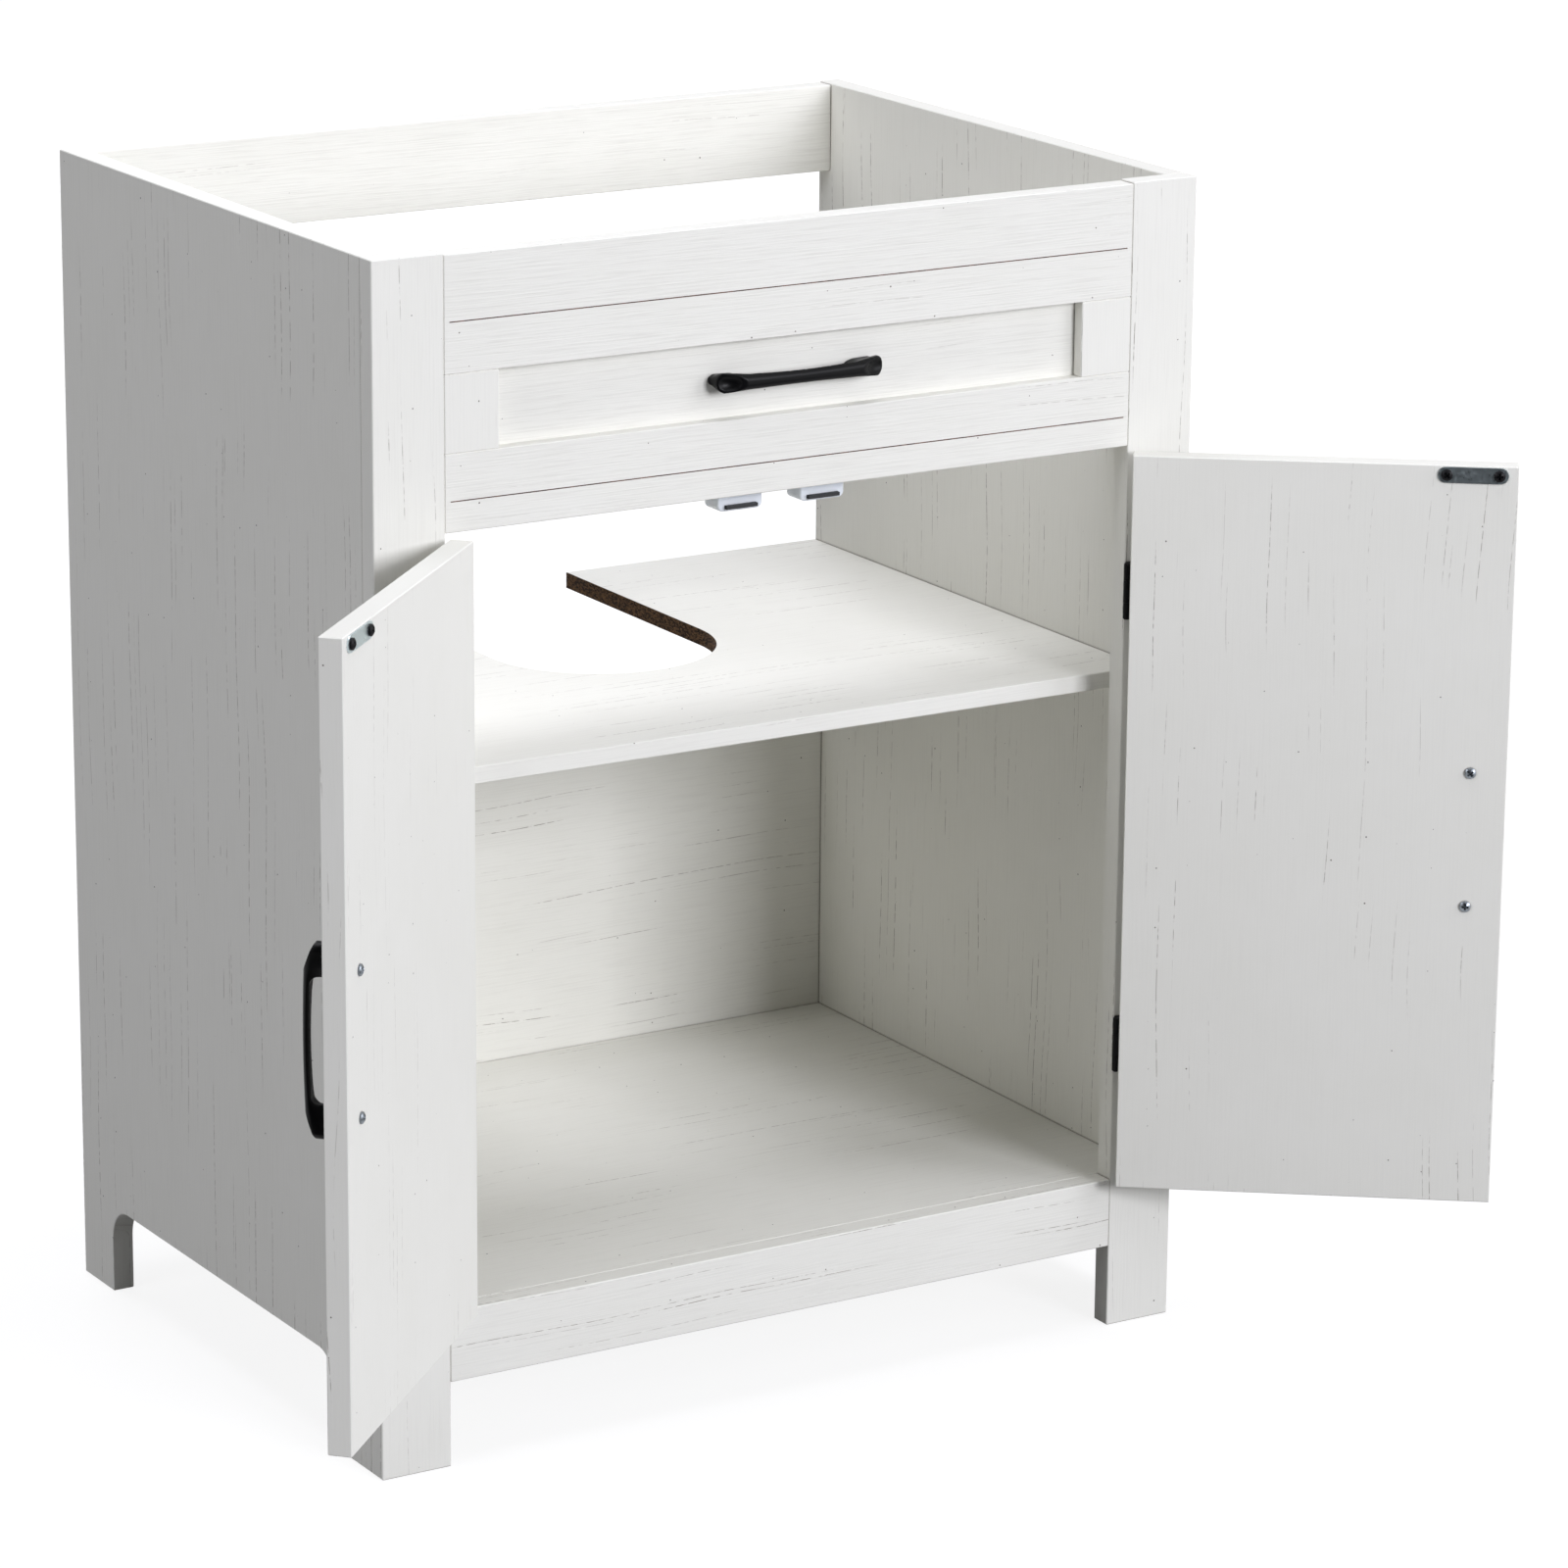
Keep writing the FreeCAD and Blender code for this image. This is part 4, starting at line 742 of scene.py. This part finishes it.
class VANITY_OT_round_handles(bpy.types.Operator):
    """Draws in the feet of the bow handles behind their slanted faces and rounds the grips underneath"""

    bl_idname = "vanity.round_handles"
    bl_label = "Round Handles"

    def execute(self, context):
        settings = context.scene.vanity_hardware
        coat = coated_metal("Cast zinc, matt black coat", settings.black, rough=0.34)
        self.slim_feet(settings, coat, "apron_handle", "cabinet", 0)
        for hand in HANDS:
            self.slim_feet(settings, coat, f"{hand}_door_handle", f"{hand}_door", 2, door_place(hand))
        return {"FINISHED"}

    def slim_feet(self, settings, material, node, body, lie, place=Matrix()):
        """A copy of a CAD handle with slimmer feet. It lies along one axis of the place and stands on the
        plane at its highest Y."""
        shape = cad_shape(node, place)
        low, high = corners(shape.verts)
        middle, half = (low + high) / 2, (high - low) / 2
        width, start = 2 - lie, settings.foot_inner - settings.foot_blend
        self.refine(shape, settings.foot_facet, lambda vert: abs(vert.co[lie] - middle[lie]) > start)
        for vert in shape.verts:
            reach, height = abs(vert.co[lie] - middle[lie]), high.y - vert.co.y
            drawn = self.drawn_in(settings, reach, height, half[lie], 2 * half.y)
            # The screw's bore stays round: only what lies beside it is drawn in.
            chord = 0
            if height < settings.foot_bite:
                chord = math.sqrt(max(settings.foot_bore**2 - (reach - settings.foot_screw) ** 2, 0))
            aside = vert.co[width] - middle[width]
            kept = min(abs(aside), chord)
            spread = (half[width] * drawn - chord) / (half[width] - chord)
            vert.co[width] = middle[width] + math.copysign(kept + (abs(aside) - kept) * spread, aside)
        shape.transform(place)
        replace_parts(piece(f"{node}_cast", shape, material, body, smooth=True), node)

    def refine(self, shape, longest, chosen, rounds=6):
        """Halves the long edges that have a chosen vertex, round by round."""
        for _ in range(rounds):
            coarse = [e for e in shape.edges if e.calc_length() > longest and any(map(chosen, e.verts))]
            bmesh.ops.subdivide_edges(shape, edges=coarse, cuts=1)
        bmesh.ops.triangulate(shape, faces=shape.faces)

    def drawn_in(self, settings, reach, height, tip, rise):
        """Share of its width that a handle keeps at a reach from its middle and a height over its seat."""
        shoulder = settings.foot_shoulder
        ends = rise - settings.grip_bow
        bowed = settings.grip_bow * (1 - min(reach / shoulder, 1) ** 2)
        slanted = (ends - settings.foot_toe) * max(reach - shoulder, 0) / (tip - shoulder)
        deep = ends + bowed - slanted - height
        under = max(deep - settings.grip_thick + settings.grip_round, 0) / settings.grip_round
        grip = math.sqrt(1 - min(under, settings.grip_flat) ** 2)
        reach_in = settings.foot_middle - settings.foot_inner + MM / 2
        inner = max(settings.foot_middle - reach, 0) / reach_in
        oval = math.sqrt(max(1 - inner**2, settings.foot_blunt)) * (1 - settings.foot_slim)
        foot = 1 - (1 - oval) * ease((deep - settings.foot_lip) / settings.foot_taper)
        start = settings.foot_inner - settings.foot_blend
        return grip + (foot - grip) * ease((reach - start) / settings.foot_blend)


class VANITY_OT_drive_screws(bpy.types.Operator):
    """Puts in the screws of handles, strike plates and catches with their cross recesses, and gives the
    hinge screws their finish
    """

    bl_idname = "vanity.drive_screws"
    bl_label = "Drive Screws"

    def execute(self, context):
        settings = context.scene.vanity_hardware
        zinc = zinc_metal("Steel screw, dull zinc", settings.screw_zinc, rough=0.3)
        black = coated_metal("Steel screw, blackened", settings.screw_black, rough=0.36)
        pan_screws("apron_handle_screws", (0, 1, 0), settings, zinc, "cabinet", "zinc_plate")
        pan_screws("catch_screws", (0, 0, -1), settings, black, "cabinet", "black_metal")
        for hand in HANDS:
            door, body = door_place(hand), f"{hand}_door"
            pan_screws(f"{hand}_door_handle_screws", (0, 1, 0), settings, zinc, body, "zinc_plate", door)
            pan_screws(f"{hand}_strike_screws", (0, 1, 0), settings, black, body, "black_metal", door)
            dress(f"{hand}_door_hinge_screws", black)
        dress("stile_hinge_screws", black)
        return {"FINISHED"}


class VANITY_OT_stage(bpy.types.Operator):
    """Sets the floor, the soft studio light and the camera"""

    bl_idname = "vanity.stage"
    bl_label = "Stage"

    def execute(self, context):
        settings = context.scene.vanity_stage
        self.floor(settings)
        self.world(context, settings)
        self.flags(settings)
        for name, bearing, height, distance, size in SOFTBOXES:
            light = self.softbox(name, bearing, height, distance, size)
            light.energy = getattr(settings, name)
            light.color = settings.light
        self.camera(context)
        context.scene.view_settings.view_transform = "Standard"
        return {"FINISHED"}

    def floor(self, settings):
        """Pale studio floor: white to the camera, darker only in the shadow near the unit."""
        material, tree, shader = surface(
            "Studio floor", Base_Color=settings.floor, Roughness=0.9, Specular_IOR_Level=0.0
        )
        spot = add(tree, "ShaderNodeTexCoord").outputs["Object"]
        away = add(tree, "ShaderNodeVectorMath", {0: spot}, operation="LENGTH").outputs["Value"]
        fade = {"Value": away, "From Min": settings.floor_near, "From Max": settings.floor_far}
        fade.update({"To Min": settings.floor_glow, "To Max": 1.0})
        lift = add(tree, "ShaderNodeMapRange", fade).outputs[0]
        glow = add(tree, "ShaderNodeMath", {0: background_rays(tree), 1: lift}, operation="MULTIPLY")
        shader.inputs["Emission Color"].default_value = (1, 1, 1, 1)
        tree.links.new(glow.outputs[0], shader.inputs["Emission Strength"])
        bpy.ops.mesh.primitive_plane_add(size=settings.floor_size, location=(0, 0, -settings.floor_drop))
        plane = bpy.context.object
        plane.name = "studio_floor"
        plane.data.materials.append(material)

    def flags(self, settings):
        """Dark cards before the unit, one lying and one upright, that paint a dark reflection. Only metal
        sees them and they cast no shadow, so that a plate which faces them looks dark."""
        card = surface("Black flock card", Base_Color=settings.card, Roughness=1.0)[0]
        for name, spot, tilt, turn in FLAGS:
            angles = (math.radians(tilt), 0, math.radians(turn))
            bpy.ops.mesh.primitive_plane_add(size=FLAG_SIZE, location=spot, rotation=angles)
            plane = bpy.context.object
            plane.name = f"studio_flag_{name}"
            plane.visible_camera = plane.visible_diffuse = False
            plane.visible_shadow = plane.visible_transmission = False
            plane.data.materials.append(card)

    def world(self, context, settings):
        """White to the camera and to metal, and a faint even light for all else."""
        world = bpy.data.worlds.new("Studio")
        world.use_nodes = True
        tree = world.node_tree
        seen = {"Value": background_rays(tree), "To Min": settings.sky, "To Max": 1.0}
        level = add(tree, "ShaderNodeMapRange", seen)
        back = tree.nodes["Background"]
        back.inputs["Color"].default_value = (1, 1, 1, 1)
        tree.links.new(level.outputs[0], back.inputs["Strength"])
        context.scene.world = world

    def softbox(self, name, bearing, height, distance, size):
        """A square light that points at the unit's middle. The bearing runs from the front to the right."""
        light = bpy.data.lights.new(f"Softbox {name}", "AREA")
        light.shape = "SQUARE"
        light.size = size
        item = bpy.data.objects.new(f"softbox_{name}", light)
        turn = Euler((math.radians(90 - height), 0, math.radians(bearing))).to_matrix().to_4x4()
        item.matrix_world = Matrix.Translation(MIDDLE) @ turn @ Matrix.Translation((0, 0, distance))
        item.visible_camera = False
        bpy.context.scene.collection.objects.link(item)
        return light

    def camera(self, context):
        """The photograph's view"""
        turn, rise, roll = (math.radians(a) for a in (CAMERA_TURN, CAMERA_RISE, CAMERA_ROLL))
        lens = bpy.data.cameras.new("Camera")
        lens.sensor_fit = "HORIZONTAL"
        lens.sensor_width = SENSOR_MM
        lens.lens = FOCAL_PIXELS / FRAME_PIXELS * SENSOR_MM
        item = bpy.data.objects.new("Camera", lens)
        item.matrix_world = (
            Matrix.Translation(CAMERA_SPOT)
            @ Euler((math.pi / 2 - rise, 0, turn)).to_matrix().to_4x4()
            @ Matrix.Rotation(roll, 4, "Z")
        )
        context.scene.collection.objects.link(item)
        context.scene.camera = item


class VANITY_PT_panel(bpy.types.Panel):
    """The vanity unit's sizes, colours and steps"""

    bl_idname = "VANITY_PT_panel"
    bl_label = "Vanity Unit"
    bl_space_type = "VIEW_3D"
    bl_region_type = "UI"
    bl_category = "Vanity"

    def draw(self, context):
        for name, group in GROUPS:
            column = self.layout.column(align=True)
            for key in group.__annotations__:
                column.prop(getattr(context.scene, name), key)
        for operator in STEPS:
            self.layout.operator(operator.bl_idname)


STEPS = (
    VANITY_OT_paint_boards,
    VANITY_OT_raw_edges,
    VANITY_OT_finish_hardware,
    VANITY_OT_round_handles,
    VANITY_OT_drive_screws,
    VANITY_OT_stage,
)
GROUPS = (
    ("vanity_boards", VanityBoards),
    ("vanity_hardware", VanityHardware),
    ("vanity_stage", VanityStage),
)


def register():
    for name, group in GROUPS:
        bpy.utils.register_class(group)
        setattr(bpy.types.Scene, name, PointerProperty(type=group))
    for item in (*STEPS, VANITY_PT_panel):
        bpy.utils.register_class(item)


def unregister():
    for item in reversed((*STEPS, VANITY_PT_panel)):
        bpy.utils.unregister_class(item)
    for name, group in reversed(GROUPS):
        delattr(bpy.types.Scene, name)
        bpy.utils.unregister_class(group)


def main():
    register()
    bpy.ops.vanity.paint_boards()
    bpy.ops.vanity.raw_edges()
    bpy.ops.vanity.finish_hardware()
    bpy.ops.vanity.round_handles()
    bpy.ops.vanity.drive_screws()
    bpy.ops.vanity.stage()


if __name__ == "__main__":
    main()
